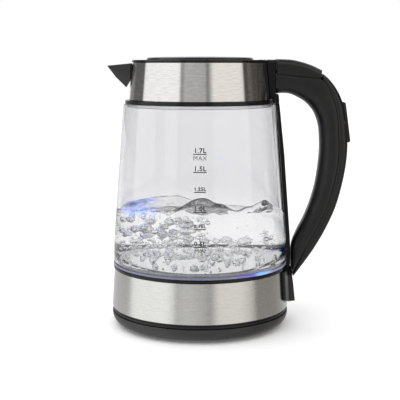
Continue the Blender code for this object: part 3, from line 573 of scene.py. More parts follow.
def make_base():
    edge_circle = BASE_RADIUS - EDGE_WIDTH
    corner = [(edge_circle + EDGE_WIDTH * math.sin(a), BASE_LOW + EDGE_HEIGHT * (1 - math.cos(a)), 0)
              for a in spaced(0, math.pi / 2, 24)]
    groove = [(76.0, BASE_TOP), (75.4, BASE_TOP - 0.6), (27.0, BASE_TOP - 0.6), (26.4, BASE_TOP)]
    shell = turned("power_base_shell", [
        (COVER_RADIUS + GAP, BASE_LOW), *corner, (BASE_RADIUS, BASE_TOP, 0.9), *groove,
        (POST_RADIUS + 1.0, BASE_TOP), (POST_RADIUS + 1.0, BASE_TOP - BASE_WALL),
        (BASE_RADIUS - 1.6 * BASE_WALL, BASE_TOP - BASE_WALL),
        (edge_circle, BASE_LOW + BASE_WALL), (COVER_RADIUS + GAP, BASE_LOW + BASE_WALL),
    ])
    settle(shell, "base", "charcoal_plastic", "base_shell")
    ribs = []
    for radius in (66.0, 52.0, 50.4, 24.0, 22.4):
        ribs += [(radius + 0.4, BASE_LOW), (radius, BASE_LOW + 0.4), (radius - 0.4, BASE_LOW)]
    cover = turned("power_base_cover", [
        (0, BASE_LOW), *reversed(ribs), (COVER_RADIUS, BASE_LOW), (COVER_RADIUS, BASE_LOW + 1.9),
        (0, BASE_LOW + 1.9),
    ], edge=0.2)
    for places, distance, radius, depth in (
            (SCREW_BEARINGS, SCREW_CIRCLE, 3.2, 1.3), (FOOT_BEARINGS, FOOT_CIRCLE, 5.9, 0.7)):
        for degrees in places:
            carve(cover, turned("recess", box_outline(0, radius, 0.2, BASE_LOW + depth), 0, SMALL,
                                polar(distance, degrees)))
    settle(cover, "base", "charcoal_plastic", "base_bottom_cover")
    make_screws("base_screw", "base", SCREW_BEARINGS, SCREW_CIRCLE, BASE_LOW + 0.3, 1.2)
    for number, degrees in enumerate(FOOT_BEARINGS, 1):
        node = f"base_foot_{number}"
        foot = turned(node + "_fine", [
            (0, 0.15), (2.0, 0.15), (2.6, 0.0), (5.0, 0.0), (5.5, 0.4), (5.5, 1.2), (0, 1.2)], 0.15, SMALL,
            polar(FOOT_CIRCLE, degrees))
        settle(foot, "base", "rubber", node)
    make_connector()


def make_screws(stem, body, places, distance, low, height):
    for number, degrees in enumerate(places, 1):
        node = f"{stem}_{number}"
        settle(screw_head(node + "_fine", polar(distance, degrees), low, height), body, "bright_steel", node)


def screw_head(name, place, low, height, radius=2.8):
    """A pan head, seen from below, with a cross recess."""
    head = turned(name, [
        (0, low), (radius * 0.7, low, 0), (radius, low + 0.5 * height, 0), (radius, low + height),
        (0, low + height),
    ], 0.1, SMALL, place)
    arm, slot = 0.62 * radius, 0.14 * radius
    x, y = place
    carve(head, block("slot_a", (x - arm, y - slot, low - 1), (x + arm, y + slot, low + 0.6 * height)),
          block("slot_b", (x - slot, y - arm, low - 1), (x + slot, y + arm, low + 0.6 * height)))
    return head


def make_connector():
    flange = BASE_TOP - BASE_WALL - GAP
    post = turned("connector_post", [
        (0, 4.6), (16.0, 4.6), (16.0, 9.2), (20.0, 9.2), (20.0, flange), (POST_RADIUS, flange),
        (POST_RADIUS, POST_TOP, 1.2), (12.0, POST_TOP, 0.8), (12.0, 15.0), (9.6, 15.0), (9.6, POST_TOP, 0.8),
        (2.6, POST_TOP, 0.8), (2.6, 14.0), (0, 14.0),
    ], 0.3, MEDIUM)
    settle(post, "base", "nylon", "base_connector")
    ring = turned("connector_line_ring", box_outline(9.9, 11.6, 15.3, 16.1), 0.15, MEDIUM)
    settle(ring, "base", "brass", "base_line_contact")
    disc = turned("connector_earth_disc", box_outline(0, 2.2, 14.3, 15.1), 0.15, SMALL)
    settle(disc, "base", "brass", "base_earth_contact")
    height = middle_of("cord_gland").z
    sleeve = rod("cord_gland_sleeve", (0, 73.5, height), (0, 81.6, height), 3.25)
    collar = rod("gland_collar", (0, 80.3, height), (0, 82.2, height), 5.0, edge=0.4)
    carve(sleeve, collar, operation="UNION")
    carve(sleeve, rod("gland_bore", (0, 70, height), (0, 90, height), 2.2))
    settle(sleeve, "base", "rubber", "cord_gland")


# ------------------------------------------------------------------------- lower end of the jug

SKIRT_RADIUS, SKIRT_LOW, SKIRT_HIGH = span("steel_skirt")
SKIRT_TOP_RADIUS = 77.8
SKIRT_WALL = 0.8
CHASSIS_RADIUS, _, CHASSIS_TOP = span("jug_chassis")
GLASS_RADIUS, GLASS_LOW, GLASS_HIGH = span("glass_jug")
PLATE_RADIUS, PLATE_LOW, PLATE_HIGH = span("heater_plate")


def skirt_radius(height):
    return blend(SKIRT_RADIUS, SKIRT_TOP_RADIUS, (height - SKIRT_LOW) / (SKIRT_HIGH - SKIRT_LOW))


def make_socket():
    ceiling, top, radius = 24.2, 28.3, 21.4
    socket = turned("socket_housing", [
        (POST_RADIUS + 0.8, 15.8, 0.8), (radius, 15.8, 0.5), (radius, 18.3), (23.6, 18.3), (23.6, 19.8),
        (radius, 19.8), (radius, top), (0, top), (0, ceiling), (POST_RADIUS + 0.8, ceiling),
    ], 0.2, MEDIUM)
    settle(socket, "jug_socket", "nylon", "jug_socket")
    blade = turned("socket_contact_blade", [(10.4, 16.5, 0.3), (11.1, 16.5, 0.3), (11.1, ceiling - GAP),
                                            (10.4, ceiling - GAP)], 0.1, MEDIUM)
    settle(blade, "jug_socket", "brass", "socket_blade")
    pin = turned("socket_contact_pin", [(0, 15.5), (1.0, 15.5), (1.6, 16.3), (1.6, ceiling - GAP),
                                        (0, ceiling - GAP)], 0.3, SMALL)
    settle(pin, "jug_socket", "brass", "socket_pin")


def make_jug_bottom():
    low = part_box("jug_bottom_cover")[0].z / MM
    foot = 79.0
    cover = turned("jug_foot_ring", [
        (72.0, low), (foot, low, 0.8), (foot, low + 2.2, 0.1), (foot - 0.5, low + 2.4, 0.1),
        (foot - 0.5, low + 2.7, 0.1), (foot, low + 2.9, 0.1), (foot, SKIRT_LOW - GAP),
        (75.4, SKIRT_LOW - GAP), (75.4, 26.0), (73.6, 26.0), (73.6, 17.8), (22.0, 17.8),
        (22.0, 15.8), (70.0, 15.8),
    ])
    settle(cover, "jug", "black_plastic", "jug_bottom_cover")
    make_screws("jug_screw", "jug", (60, 180, 300), 66.0, 14.1, 1.4)
    skirt = turned("brushed_skirt", [
        (SKIRT_RADIUS - SKIRT_WALL, SKIRT_LOW), (SKIRT_RADIUS, SKIRT_LOW, 0.35),
        (SKIRT_TOP_RADIUS, SKIRT_HIGH, 0.35), (SKIRT_TOP_RADIUS - SKIRT_WALL, SKIRT_HIGH),
    ], 0.2)
    settle(skirt, "jug", "brushed_steel", "steel_skirt", material=SKIRT_STEEL)
    outer_bottom = skirt_radius(20.5) - SKIRT_WALL - WALL_GAP
    outer_top = SKIRT_TOP_RADIUS - SKIRT_WALL - WALL_GAP
    flange = SKIRT_HIGH + GAP
    lip = turned("chassis_ring", [
        (outer_bottom - 2.0, 20.5), (outer_bottom, 20.5), (outer_top, SKIRT_HIGH), (outer_top, flange),
        (CHASSIS_RADIUS, flange, 0.5), (CHASSIS_RADIUS, CHASSIS_TOP, 0.5), (62.0, CHASSIS_TOP),
        (62.0, flange), (outer_top - 2.0, flange),
    ])
    settle(lip, "jug", "gloss_black", "jug_chassis")
    ring = turned("light_guide", box_outline(75.1, CHASSIS_RADIUS, CHASSIS_TOP + GAP, GLASS_LOW - GAP))
    settle(ring, "jug", "light_acrylic", "light_ring")
    seal_top = PLATE_LOW + 3.0
    seal = turned("plate_sealing_ring", [
        (69.5, CHASSIS_TOP + GAP), (74.8, CHASSIS_TOP + GAP), (74.8, seal_top, 0.6),
        (73.4, seal_top, 0.6), (73.4, PLATE_LOW - GAP), (69.5, PLATE_LOW - GAP),
    ])
    settle(seal, "jug", "silicone", "plate_seal")
    dish = [(0, PLATE_HIGH - 0.2), (30.0, PLATE_HIGH - 0.2, 2), (34.0, PLATE_HIGH - 0.35, 2),
            (60.0, PLATE_HIGH - 0.35, 2), (64.0, PLATE_HIGH, 2)]
    plate = turned("heater_dish", [
        (0, PLATE_LOW), (PLATE_RADIUS, PLATE_LOW), (PLATE_RADIUS, PLATE_HIGH), *reversed(dish)], 0.2)
    settle(plate, "jug", "bright_steel", "heater_plate")
    low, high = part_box("plate_sensor")
    foot, radius = low.z / MM, (high.x - low.x) / 2 / MM
    sensor = turned("water_sensor", [
        (0, foot), (radius, foot), (radius, foot + 2.5, 0.3), (2.2, foot + 3.7, 1.0), (0, foot + 4.1),
    ], 0.2, SMALL, middle_of("plate_sensor").xy)
    settle(sensor, "jug", "bright_steel", "plate_sensor")


# --------------------------------------------------------------------- glass, scale and water

GLASS_WALL = 3.0
GLASS_TOP_RADIUS = 68.4
SHOULDER, CONE_START = 66.0, 82.0
WATER_LEVEL = 107.5
SCALE_PRINT = 0.05       # half thickness of the printed ink


def glass_radius(height):
    """Outer radius of the glass: upright at the foot, a smooth knee, then a straight cone."""
    middle = (SHOULDER + CONE_START) / 2
    slope = (GLASS_RADIUS - GLASS_TOP_RADIUS) / (GLASS_HIGH - middle)
    if height <= SHOULDER:
        return GLASS_RADIUS
    if height >= CONE_START:
        return GLASS_RADIUS - slope * (height - middle)
    return GLASS_RADIUS - slope * (height - SHOULDER) ** 2 / (2 * (CONE_START - SHOULDER))


def make_glass():
    heights = [*spaced(SHOULDER, CONE_START, 9), *spaced(CONE_START + 14, GLASS_HIGH - 8, 6)]
    outer = [(glass_radius(z), z, 0) for z in heights]
    inner = [(glass_radius(z) - GLASS_WALL, z, 0) for z in reversed(heights)]
    top = glass_radius(GLASS_HIGH)
    glass = turned("glass_body", [
        (GLASS_RADIUS - GLASS_WALL, GLASS_LOW, 0.9), (GLASS_RADIUS, GLASS_LOW, 0.9), *outer,
        (top, GLASS_HIGH, 0.3), (top - GLASS_WALL, GLASS_HIGH, 0.3), *inner,
    ], 0, 256)
    settle(glass, "jug", "clear_glass", "glass_jug")


def text_mesh(text, size, base_z, weight):
    """A word as a mesh in the plane y = 0, standing on a height, its strokes thickened by a weight."""
    curve = bpy.data.curves.new("word", "FONT")
    curve.body = text
    curve.size = size * MM
    curve.align_x = "CENTER"
    curve.extrude = SCALE_PRINT * MM
    curve.offset = weight * MM
    curve.space_character = 1.12
    word = linked("word", curve)
    bpy.context.view_layer.update()
    mesh = bpy.data.meshes.new_from_object(word)
    bpy.data.objects.remove(word)
    for vertex in mesh.vertices:
        x, up, depth = vertex.co
        vertex.co = (x, -depth, base_z * MM + up)
    return linked("word", mesh)


SCALE_MARKS = (
    # height of the line, figure above it, word below it, size of the letters
    (160.9, "1.7L", "MAX", 5.4), (146.0, "1.5L", None, 5.4), (129.6, "1.25L", None, 4.1),
    (112.9, "1.0L", None, 5.4), (98.7, "0.75L", None, 4.1), (83.8, "0.5L", "MIN", 5.2),
)


def make_scale():
    """The litre scale printed on the front of the glass."""
    pieces = []
    for height, above, below, size in SCALE_MARKS:
        line = Vector((5.6 if size > 5 else 4.8, SCALE_PRINT, 0.42))
        middle = Vector((0, 0, height))
        pieces.append(block("mark", middle - line, middle + line))
        pieces.append(text_mesh(above, size, height + 1.2, 0.17))
        if below:
            pieces.append(text_mesh(below, 0.94 * size, height - 1.2 - 0.7 * size, 0.0))
    scale = joined("litre_scale", pieces)
    for vertex in scale.data.vertices:
        x, depth, z = vertex.co / MM
        vertex.co.y = -(math.sqrt(glass_radius(z) ** 2 - x ** 2) + 0.08 - depth) * MM
    scale.data.materials.clear()
    ink = speckled("scale_ink", (0.02, 0.02, 0.022), 0.45, 900.0, 3.0, (0.3, 0.01), (0.8, 0.05))
    scale.data.materials.append(ink)
    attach(scale, "jug")


# Height of the splashing water at the front of the glass, from left to right.
SPLASH = ((-75, 107), (-65, 109.9), (-46, 112.0), (-27, 114.2), (3, 125.4), (16, 120.4), (30, 114.0),
          (42, 117.5), (55, 121.6), (64, 115.5), (75, 107))
LIP_SHARE = 0.42        # of that rise, how much is a thin lip against the glass
LIP_WIDTH, MOUND_WIDTH = 4.0, 34.0
SINK_DEPTH = 9.0        # how far the surface falls to the right and the back
WATER_OVERLAP = 0.15    # how far the water reaches into the wall of the glass
PLATE_FILM = 0.15       # between the plate and the foot of the water
FOOT_RISE = 1.6         # of the water from the plate's edge out to the glass
RIM_INSET = 2.6         # from the wall at the foot to the place where the wall's water height is taken


def splash_height(x):
    for (x0, z0), (x1, z1) in zip(SPLASH, SPLASH[1:]):
        if x <= x1:
            return blend(z0, z1, eased((x - x0) / (x1 - x0)))
    return SPLASH[-1][1]


def wave(x, y):
    """Height of the boiling surface over a point: it climbs the glass at the front."""
    contact = splash_height(x) if y < 0 else WATER_LEVEL
    behind = max(0.0, glass_radius(contact) - GLASS_WALL - math.hypot(x, y))
    lip, mound = (math.exp(-(behind / width) ** 2) for width in (LIP_WIDTH, MOUND_WIDTH))
    swell = LIP_SHARE * lip + (1 - LIP_SHARE) * mound
    climb = (splash_height(x) - WATER_LEVEL) * swell * min(1.0, max(0.0, -y / 25.0))
    sink = SINK_DEPTH * eased((x + 25.0) / 30.0) * min(1.0, max(0.0, (y + 68.0) / 110.0))
    chop = 2.2 * noise.noise(Vector((x / 17, y / 17, 3.0))) + 1.3 * noise.noise(Vector((x / 6, y / 6, 9.0)))
    return WATER_LEVEL - 0.6 + climb - sink + chop * min(1.0, 0.35 + behind / 20.0)


def make_water():
    """The water as one body: its outside, and the steam bubbles as hollows in it."""
    bm = bmesh.new()
    radius = GLASS_RADIUS - GLASS_WALL + WATER_OVERLAP
    floor = PLATE_HIGH + PLATE_FILM
    foot = floor + FOOT_RISE
    rings = []

    def add_ring(radius_and_height):
        places = [(a, *radius_and_height(a)) for a in bearings(FINE)]
        rings.append([bm.verts.new(Vector((*around(r, a), z)) * MM) for a, r, z in places])

    def contact(a):
        return wave(*around(radius - RIM_INSET, a))

    def wall(share):
        def place(a):
            z = blend(foot, contact(a), share)
            return glass_radius(z) - GLASS_WALL + WATER_OVERLAP, z
        return place

    def surface(share):
        def place(a):
            r = (glass_radius(contact(a)) - GLASS_WALL) * share
            return r, wave(*around(r, a))
        return place

    add_ring(lambda a: (PLATE_RADIUS - 0.2, floor))
    add_ring(lambda a: (radius, foot))
    for share in spaced(0.2, 1.0, 9):
        add_ring(wall(share))
    for inwards in (*spaced(0.4, 9.0, 13), *spaced(10.5, 69.0, 40)):
        add_ring(surface(1 - inwards / 70.0))
    skin(bm, rings)
    bm.faces.new(rings[0])
    bm.faces.new(rings[-1])
    bmesh.ops.recalc_face_normals(bm, faces=bm.faces)
    if bm.calc_volume(signed=True) < 0:
        bmesh.ops.reverse_faces(bm, faces=bm.faces)
    add_bubbles(bm)
    body = object_from("boiling_water", bm, smooth=False, recalculate=False)
    body.data.shade_smooth()
    body.data.materials.append(water())
    body.data.materials.append(steam())
    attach(body, "jug")


def add_bubbles(bm):
    """Steam bubbles: crowds above the plate and at the left, a few strays; none touches another."""
    rng = random.Random(11)
    placed = []
    crowds = (
        # count, x range, y range, z range, radius range, flatness
        (34, (-64, -8), (-62, -10), (84, 100), (3.0, 7.0), 0.6),
        (150, (-66, 6), (-66, 30), (74, 101), (0.7, 3.2), 0.85),
        (60, (-52, 36), (-68, 20), (58, 76), (2.4, 5.6), 0.7),
        (170, (-62, 50), (-70, 40), (57.5, 80), (0.6, 2.4), 0.9),
        (10, (20, 62), (-60, 40), (60, 98), (0.5, 1.2), 0.95),
        (1, (60, 62), (-26, -24), (64, 65), (2.6, 2.7), 1.0),
    )
    for count, xs, ys, zs, radii, flat in crowds:
        for _ in range(count):
            for _ in range(12):
                centre = Vector((rng.uniform(*xs), rng.uniform(*ys), rng.uniform(*zs)))
                radius = blend(radii[0], radii[1], rng.random() ** 1.8)
                if fits(centre, radius, placed):
                    placed.append((centre, radius))
                    add_bubble(bm, centre, radius, flat, rng.random() * 40)
                    break


def fits(centre, radius, placed):
    """Whether a bubble stays inside the water and clear of the others."""
    reach = 1.25 * radius + 0.4
    wall = glass_radius(centre.z) - GLASS_WALL - 1.2
    if math.hypot(centre.x, centre.y) + reach > wall:
        return False
    if centre.z - reach < PLATE_HIGH + 0.6 or centre.z + reach > wave(centre.x, centre.y) - 0.8:
        return False
    return all((centre - other).length > 1.3 * (radius + size) + 0.2 for other, size in placed)


def add_bubble(bm, centre, radius, flat, seed):
    made = bmesh.ops.create_icosphere(bm, subdivisions=3 if radius > 2 else 2, radius=1.0)
    for vertex in made["verts"]:
        push = 1 + 0.34 * noise.noise(vertex.co * 1.5 + Vector((seed, 0, 0)))
        vertex.co = (centre + Vector((vertex.co.x, vertex.co.y, vertex.co.z * flat)) * radius * push) * MM
    faces = {face for vertex in made["verts"] for face in vertex.link_faces}
    bmesh.ops.reverse_faces(bm, faces=list(faces))
    for face in faces:
        face.material_index = 1


# -------------------------------------------------------------------------------------- collar

RING_RADIUS, FRAME_LOW, RIM_TOP = span("collar_frame")
BAND_RADIUS, BAND_LOW, BAND_HIGH = span("collar_band")
BAND_TOP_RADIUS = 60.2
BAND_WALL = 0.7
RING_LOW = 199.9
MOUTH_RADIUS = 56.9
LATCH_LOW, LATCH_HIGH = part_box("latch_slider")[0].z / MM, 229.0
UPPER_SCREW = 215.0
EAR_WIDTH = 9.0


def band_radius(height):
    return blend(BAND_RADIUS, BAND_TOP_RADIUS, (height - BAND_LOW) / (BAND_HIGH - BAND_LOW))


def handle_openings(near, far):
    """Tools for the latch slot and the screw hole, which run along X through collar and spine."""
    return (block("latch", (near, -5.2, LATCH_LOW - 0.5), (far, 5.2, LATCH_HIGH + 0.5)),
            rod("hole", (near, 0, UPPER_SCREW), (far, 0, UPPER_SCREW), 1.9, edge=0))


def collar_windows():
    """Tools for what frame and band share: pouring window, latch slot and screw hole."""
    return block("pour", (-70, -10, 221.6), (-50, 10, 234.6)), *handle_openings(50, 66)


def make_collar():
    gap = BAND_WALL + 0.4
    rim = 60.4
    collar = turned("collar_ring_and_rim", [
        (60.6, FRAME_LOW), (RING_RADIUS, RING_LOW, 0.6), (RING_RADIUS, BAND_LOW - GAP, 0.5),
        (BAND_RADIUS - gap, BAND_LOW - GAP), (BAND_TOP_RADIUS - gap, BAND_HIGH + GAP),
        (rim, BAND_HIGH + GAP, 0.2), (rim, RIM_TOP, 0.8), (MOUTH_RADIUS, RIM_TOP, 0.8),
        (MOUTH_RADIUS, 229.0), (59.6, 206.0),
    ], 0.3)
    carve(collar, *collar_windows())
    carve(collar, block("notch", (50, -EAR_WIDTH - 0.5, BAND_HIGH + 0.1), (63, EAR_WIDTH + 0.5, 242)))
    settle(collar, "jug", "gloss_black", "collar_frame")
    band = turned("brushed_collar", [
        (BAND_RADIUS - BAND_WALL, BAND_LOW), (BAND_RADIUS, BAND_LOW, 0.3), (BAND_TOP_RADIUS, BAND_HIGH, 0.3),
        (BAND_TOP_RADIUS - BAND_WALL, BAND_HIGH),
    ], 0.15)
    carve(band, *collar_windows())
    settle(band, "jug", "brushed_steel", "collar_band")
    low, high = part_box("collar_seal")
    outer, wall = high.x / MM, 2.9
    edge = blend(high.z, low.z, 0.45) / MM
    seal = turned("collar_sealing_ring", [
        (outer - wall, edge), (outer, edge, 0.6), (outer, high.z / MM), (outer - wall, high.z / MM)], 0.3)
    settle(seal, "jug", "silicone", "collar_seal", material=clear_silicone())


def hull(name, points):
    """The convex solid around some points."""
    bm = bmesh.new()
    for point in points:
        bm.verts.new(Vector(point) * MM)
    result = bmesh.ops.convex_hull(bm, input=bm.verts)
    bmesh.ops.delete(bm, geom=list(set(result["geom_interior"] + result["geom_unused"])), context="VERTS")
    return object_from(name, bm, smooth=False)


def make_spout():
    """The beak: two flat cheeks that meet in a keel, open along the top."""
    tip, chin, width, wall = Vector((-82.7, 0, 233.1)), Vector((-65.7, 0, 213.8)), 12.0, 1.8
    keel = Vector((blend(tip.x, chin.x, 0.5) - 0.7, 0, blend(tip.z, chin.z, 0.5) - 0.6))
    root = BAND_HIGH - 0.6
    outside, inside = [], []
    for side in (-1, 1):
        outside += [(-60.9, side * width, root), (-61.6, side * 10.0, 221.0)]
        inside += [(-60.0, side * (width - wall - 0.8), root + 4), (-60.0, side * 8.0, 223.4)]
    spout = hull("pouring_beak", [tip, keel, chin, *outside])
    lip = tip + Vector((3.0, 0, 0))
    hollow = hull("hollow", [lip, lip + Vector((0, 0, 4)), (chin.x + 1.2, 0, chin.z + 4.6), *inside])
    clearance = turned("clearance", [
        (0, 200), (BAND_RADIUS + 0.25, BAND_LOW), (BAND_TOP_RADIUS + 0.25, BAND_HIGH),
        (BAND_TOP_RADIUS + 0.25, 245), (0, 245),
    ], 0)
    carve(spout, clearance, hollow)
    edge = spout.modifiers.new("edge", "BEVEL")
    edge.width = 0.3 * MM
    edge.segments = 2
    edge.limit_method = "ANGLE"
    edge.angle_limit = math.radians(25)
    settle(spout, "jug", "black_plastic", "spout")
    sleeve = block("beak_sleeve", (-61.2, -9.6, 222.0), (-56.2, 9.6, 234.2))
    carve(sleeve, block("bore", (-70, -8.1, 223.4), (-50, 8.1, 240)))
    settle(sleeve, "jug", "black_plastic")


def bow(name, radius_out, radius_in, angle, low, high, steps=25):
    outline = [polar(radius_out, degrees) for degrees in spaced(180 - angle, 180 + angle, steps)]
    outline += [polar(radius_in, degrees) for degrees in spaced(180 + angle, 180 - angle, steps)]
    return lofted(name, [[(x, y, z) for x, y in outline] for z in (low, high)])


def make_filter():
    holder = bow("filter_holder", 55.9, 52.6, 16, 206.5, 226.6)
    carve(holder, bow("window", 58.0, 50.0, 12, 209.5, 223.6))
    settle(holder, "jug", "nylon", "filter_frame")
    gauze_radius = 54.3
    wires = []
    for degrees in spaced(180 - 11.8, 180 + 11.8, 19):
        x, y = polar(gauze_radius, degrees)
        wires.append(rod("wire", (x, y, 209.7), (x, y, 223.4), 0.16, 6, 0))
    for height in spaced(210.0, 223.2, 12):
        arc = [(*polar(gauze_radius, degrees), height) for degrees in spaced(180 - 11.9, 180 + 11.9, 13)]
        wires.append(wire("wire", arc, 0.14, (0, 0, 1), 6))
    settle(joined("filter_gauze", wires), "jug", "bright_steel", "filter_mesh")


# ----------------------------------------------------------------------------------------- lid

HINGE = Vector((63.8, 0.0, 235.2))
KNUCKLE = 2.6
PIN_BORE = 1.55
LID_RADIUS = 56.4
LID_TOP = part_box("lid_cover")[1].z / MM


def make_lid():
    raised = 47.4
    dome = [(r, LID_TOP - 0.9 * (r / (raised - 1.4)) ** 2, 0) for r in spaced(0, raised - 1.4, 9)]
    cover = turned("lid_top", [
        *dome, (raised, LID_TOP - 1.8, 0.8), (raised + 0.3, RIM_TOP - 0.1, 0.3),
        (LID_RADIUS, RIM_TOP - 0.2, 0.8), (LID_RADIUS, 233.0), (LID_RADIUS - 1.8, 233.0),
        (LID_RADIUS - 1.8, 236.3), (raised - 1.6, 236.5), (raised - 2.0, LID_TOP - 2.8),
        (24.0, LID_TOP - 2.2), (0, LID_TOP - 2.0),
    ], 0.3)
    barrel = [(HINGE.x + x, HINGE.z + z) for x, z in
              (around(KNUCKLE, a) for a in spaced(math.radians(150), math.radians(450), 33))]
    ear = side_plate("ear", [
        (52.0, RIM_TOP + 0.2), (52.0, 236.5), (61.3, 236.5), *barrel, (62.6, RIM_TOP + 0.2),
    ], EAR_WIDTH, 0.5)
    carve(cover, ear, operation="UNION")
    carve(cover, block("gap", (60.4, -4.6, 230), (68, 4.6, 242)), crossbar("bore", HINGE, 20, PIN_BORE))
    settle(cover, "lid", "gloss_black", "lid_cover")
    inner = turned("lid_liner", [
        (0, 227.8), (53.6, 227.8, 1.2), (53.6, 229.4), (52.4, 229.4), (52.4, 232.5), (50.6, 232.5),
        (50.6, 229.6), (4.0, 229.6), (4.0, LID_TOP - 2.5), (0, LID_TOP - 2.5),
    ], 0.3)
    settle(inner, "lid", "black_plastic", "lid_inner")
    seal = turned("lid_sealing_ring", [
        (52.7, 229.7), (56.3, 229.7, 0.5), (55.9, 232.2, 0.5), (52.7, 232.2)], 0.3)
    settle(seal, "lid", "silicone", "lid_seal")
    settle(crossbar("lid_hinge_pin", HINGE, 13.7, 1.2, 0.2), "jug", "bright_steel", "hinge_pin")
    turns, coil_radius, reach = 6, 2.0, 3.9
    coil = []
    for share in spaced(0, 1, 24 * turns + 1):
        x, z = around(coil_radius, 2 * math.pi * turns * share)
        coil.append((HINGE.x + x, blend(-reach, reach, share), HINGE.z + z))
    settle(wire("lid_hinge_spring", coil, 0.4, (0, 1, 0)), "jug", "bright_steel", "hinge_spring")


# -------------------------------------------------------------------------------------- handle

GRIP_STATIONS = (
    ((67.3, 208.8), (67.3, 225.2), 15.0),
    ((78.0, 208.8), (78.4, 224.2), 15.0),
    ((87.2, 205.2), (94.4, 222.2), 14.8),
    ((94.7, 200.3), (108.2, 220.2), 14.6),
    ((101.6, 192.0), (115.5, 208.4), 14.3),
    ((105.7, 180.5), (120.7, 192.3), 14.0),
    ((107.1, 167.0), (122.7, 169.6), 14.0),
    ((106.9, 152.3), (123.0, 154.0), 14.0),
    ((104.6, 132.5), (120.5, 134.1), 14.0),
    ((100.3, 114.1), (114.8, 111.4), 13.6),
    ((94.1, 97.6), (106.9, 92.5), 13.0),
    ((87.3, 84.0), (97.6, 75.2), 12.2),
    ((83.0, 72.0), (89.8, 59.4), 11.6),
    ((82.8, 54.0), (84.4, 46.9), 11.0),
)
COVER_START = 3
COVER_BACK = (
    (96.5, 229.6), (108.4, 225.8), (119.8, 213.6), (127.2, 197.5), (130.9, 171.0), (131.2, 155.0),
    (128.7, 135.0), (122.7, 110.0), (114.4, 89.7), (103.9, 70.2), (92.3, 53.6), (84.7, 43.8),
)
BUTTON_STATIONS = (
    ((67.7, 225.6), (67.7, 238.9), 15.0),
    ((78.4, 224.8), (80.0, 238.4), 15.0),
    ((87.6, 223.9), (89.5, 236.4), 14.9),
    ((97.0, 223.3), (99.0, 233.2), 14.8),
    ((106.2, 222.7), (107.2, 229.2), 14.6),
)
BUTTON_SKIRT = (
    (73.0, 222.0), (92.0, 219.8), (106.0, 218.6), (106.0, 228.0), (98.0, 231.8), (89.0, 234.6),
    (73.0, 236.6),
)
ROCKER_AXIS = Vector((127.0, 0.0, 183.0))
ROCKER_WIDTH = 8.0
GRIP_CORNER, BACK_CORNER = 12.0, 5.5     # how round the grip is at its front and at its back
SECTIONS_PER_STATION = 8


def channel_section(closed, opened, half_width, corner, wall=2.2, crown=0.5):
    """A U across the handle: closed and well rounded at one side, open at the other.

    Its side walls are slightly crowned, and their free edges are rounded over at the seam.
    """
    closed = Vector((closed[0], 0, closed[1]))
    direction = Vector((opened[0], 0, opened[1])) - closed
    depth = direction.length
    direction.normalize()
    corner = min(corner, 0.7 * depth)
    inside = half_width - wall
    lip = half_width - crown
    side = [(depth, lip - 0.45), (depth - 0.15, lip - 0.15)]
    for share in spaced(1.0, 0.0, 6):
        side.append((blend(corner, depth - 0.5, share), half_width - crown * share ** 2))
    for angle in spaced(0, math.pi / 2, 12)[1:]:
        side.append((corner * (1 - math.sin(angle)), half_width - corner * (1 - math.cos(angle))))
    outline = side + [(across, -width) for across, width in reversed(side)]
    hollow = max(corner - wall, 0.5)
    inner = [(depth, inside - crown)]
    for angle in spaced(0, math.pi / 2, 5):
        inner.append((wall + hollow * (1 - math.sin(angle)),
                      inside - crown - hollow * (1 - math.cos(angle))))
    outline += [(across, -width) for across, width in inner]
    outline += reversed(inner)
    return [closed + direction * across + Vector((0, width, 0)) for across, width in outline]


def make_grip():
    rows = smooth_rows([(*inner, *parting, width) for inner, parting, width in GRIP_STATIONS])
    rows.insert(0, [rows[0][0] - 0.7, rows[0][1], rows[0][2] - 0.7, *rows[0][3:]])
    grip = lofted("grip_front", [channel_section(row[0:2], row[2:4], row[4], GRIP_CORNER) for row in rows])
    settle(even_normals(grip), "jug", "black_plastic", "handle_grip")
    backs = [(*parting, *back, width) for (_, parting, width), back in
             zip(GRIP_STATIONS[COVER_START - 1:], COVER_BACK)]
    sections = []
    for row in smooth_rows(backs, 1):
        parting, back = Vector(row[0:2]), Vector(row[2:4])
        opened = parting + (back - parting).normalized() * 0.3
        sections.append(channel_section(back, opened, row[4], BACK_CORNER))
    cover = lofted("grip_back_cover", sections)
    carve(cover, block("pocket", (117.0, -ROCKER_WIDTH - 0.5, 164.3), (140.0, ROCKER_WIDTH + 0.5, 201.9)))
    settle(even_normals(cover), "jug", "black_plastic", "handle_cover")


def make_button():
    rows = smooth_rows([(*lower, *top, width) for lower, top, width in BUTTON_STATIONS])
    button = lofted("lid_release_button", [
        channel_section(row[2:4], row[0:2], row[4], BACK_CORNER) for row in rows])
    for side in (-1, 1):
        near, far = sorted((side * 6.5, side * 10.5))
        carve(button, block("lug", (68.6, near, 216.4), (73.4, far, 237.0)), operation="UNION")
        near, far = sorted((side * 10.6, side * 11.7))
        apron = lofted("apron", [[(x, y, z) for x, z in BUTTON_SKIRT] for y in (near, far)], smooth=False)
        carve(button, apron, operation="UNION")
    post = turned("post", box_outline(0, 2.0, 221.0, 234.2), 0.2, SMALL, (92.0, 0))
    carve(button, post, operation="UNION")
    settle(even_normals(button), "button", "black_plastic", "release_button")


def make_rocker():
    outline = fillet([(122.0, 200.2), (127.9, 201.3, 0.8), (129.4, 200.2, 0.6), (131.9, 183.0, 6.0),
                      (134.2, 166.4, 0.6), (133.0, 165.2, 0.8), (125.8, 165.8)], 0.4, 6)
    rocker = side_plate("switch_rocker_fine", outline, ROCKER_WIDTH, 0.8)
    carve(rocker, crossbar("bore", ROCKER_AXIS, 10, PIN_BORE))
    settle(rocker, "rocker", "gloss_black", "switch_rocker")


STRIP_WIDTH, STRIP_DEPTH = 8.0, 3.4


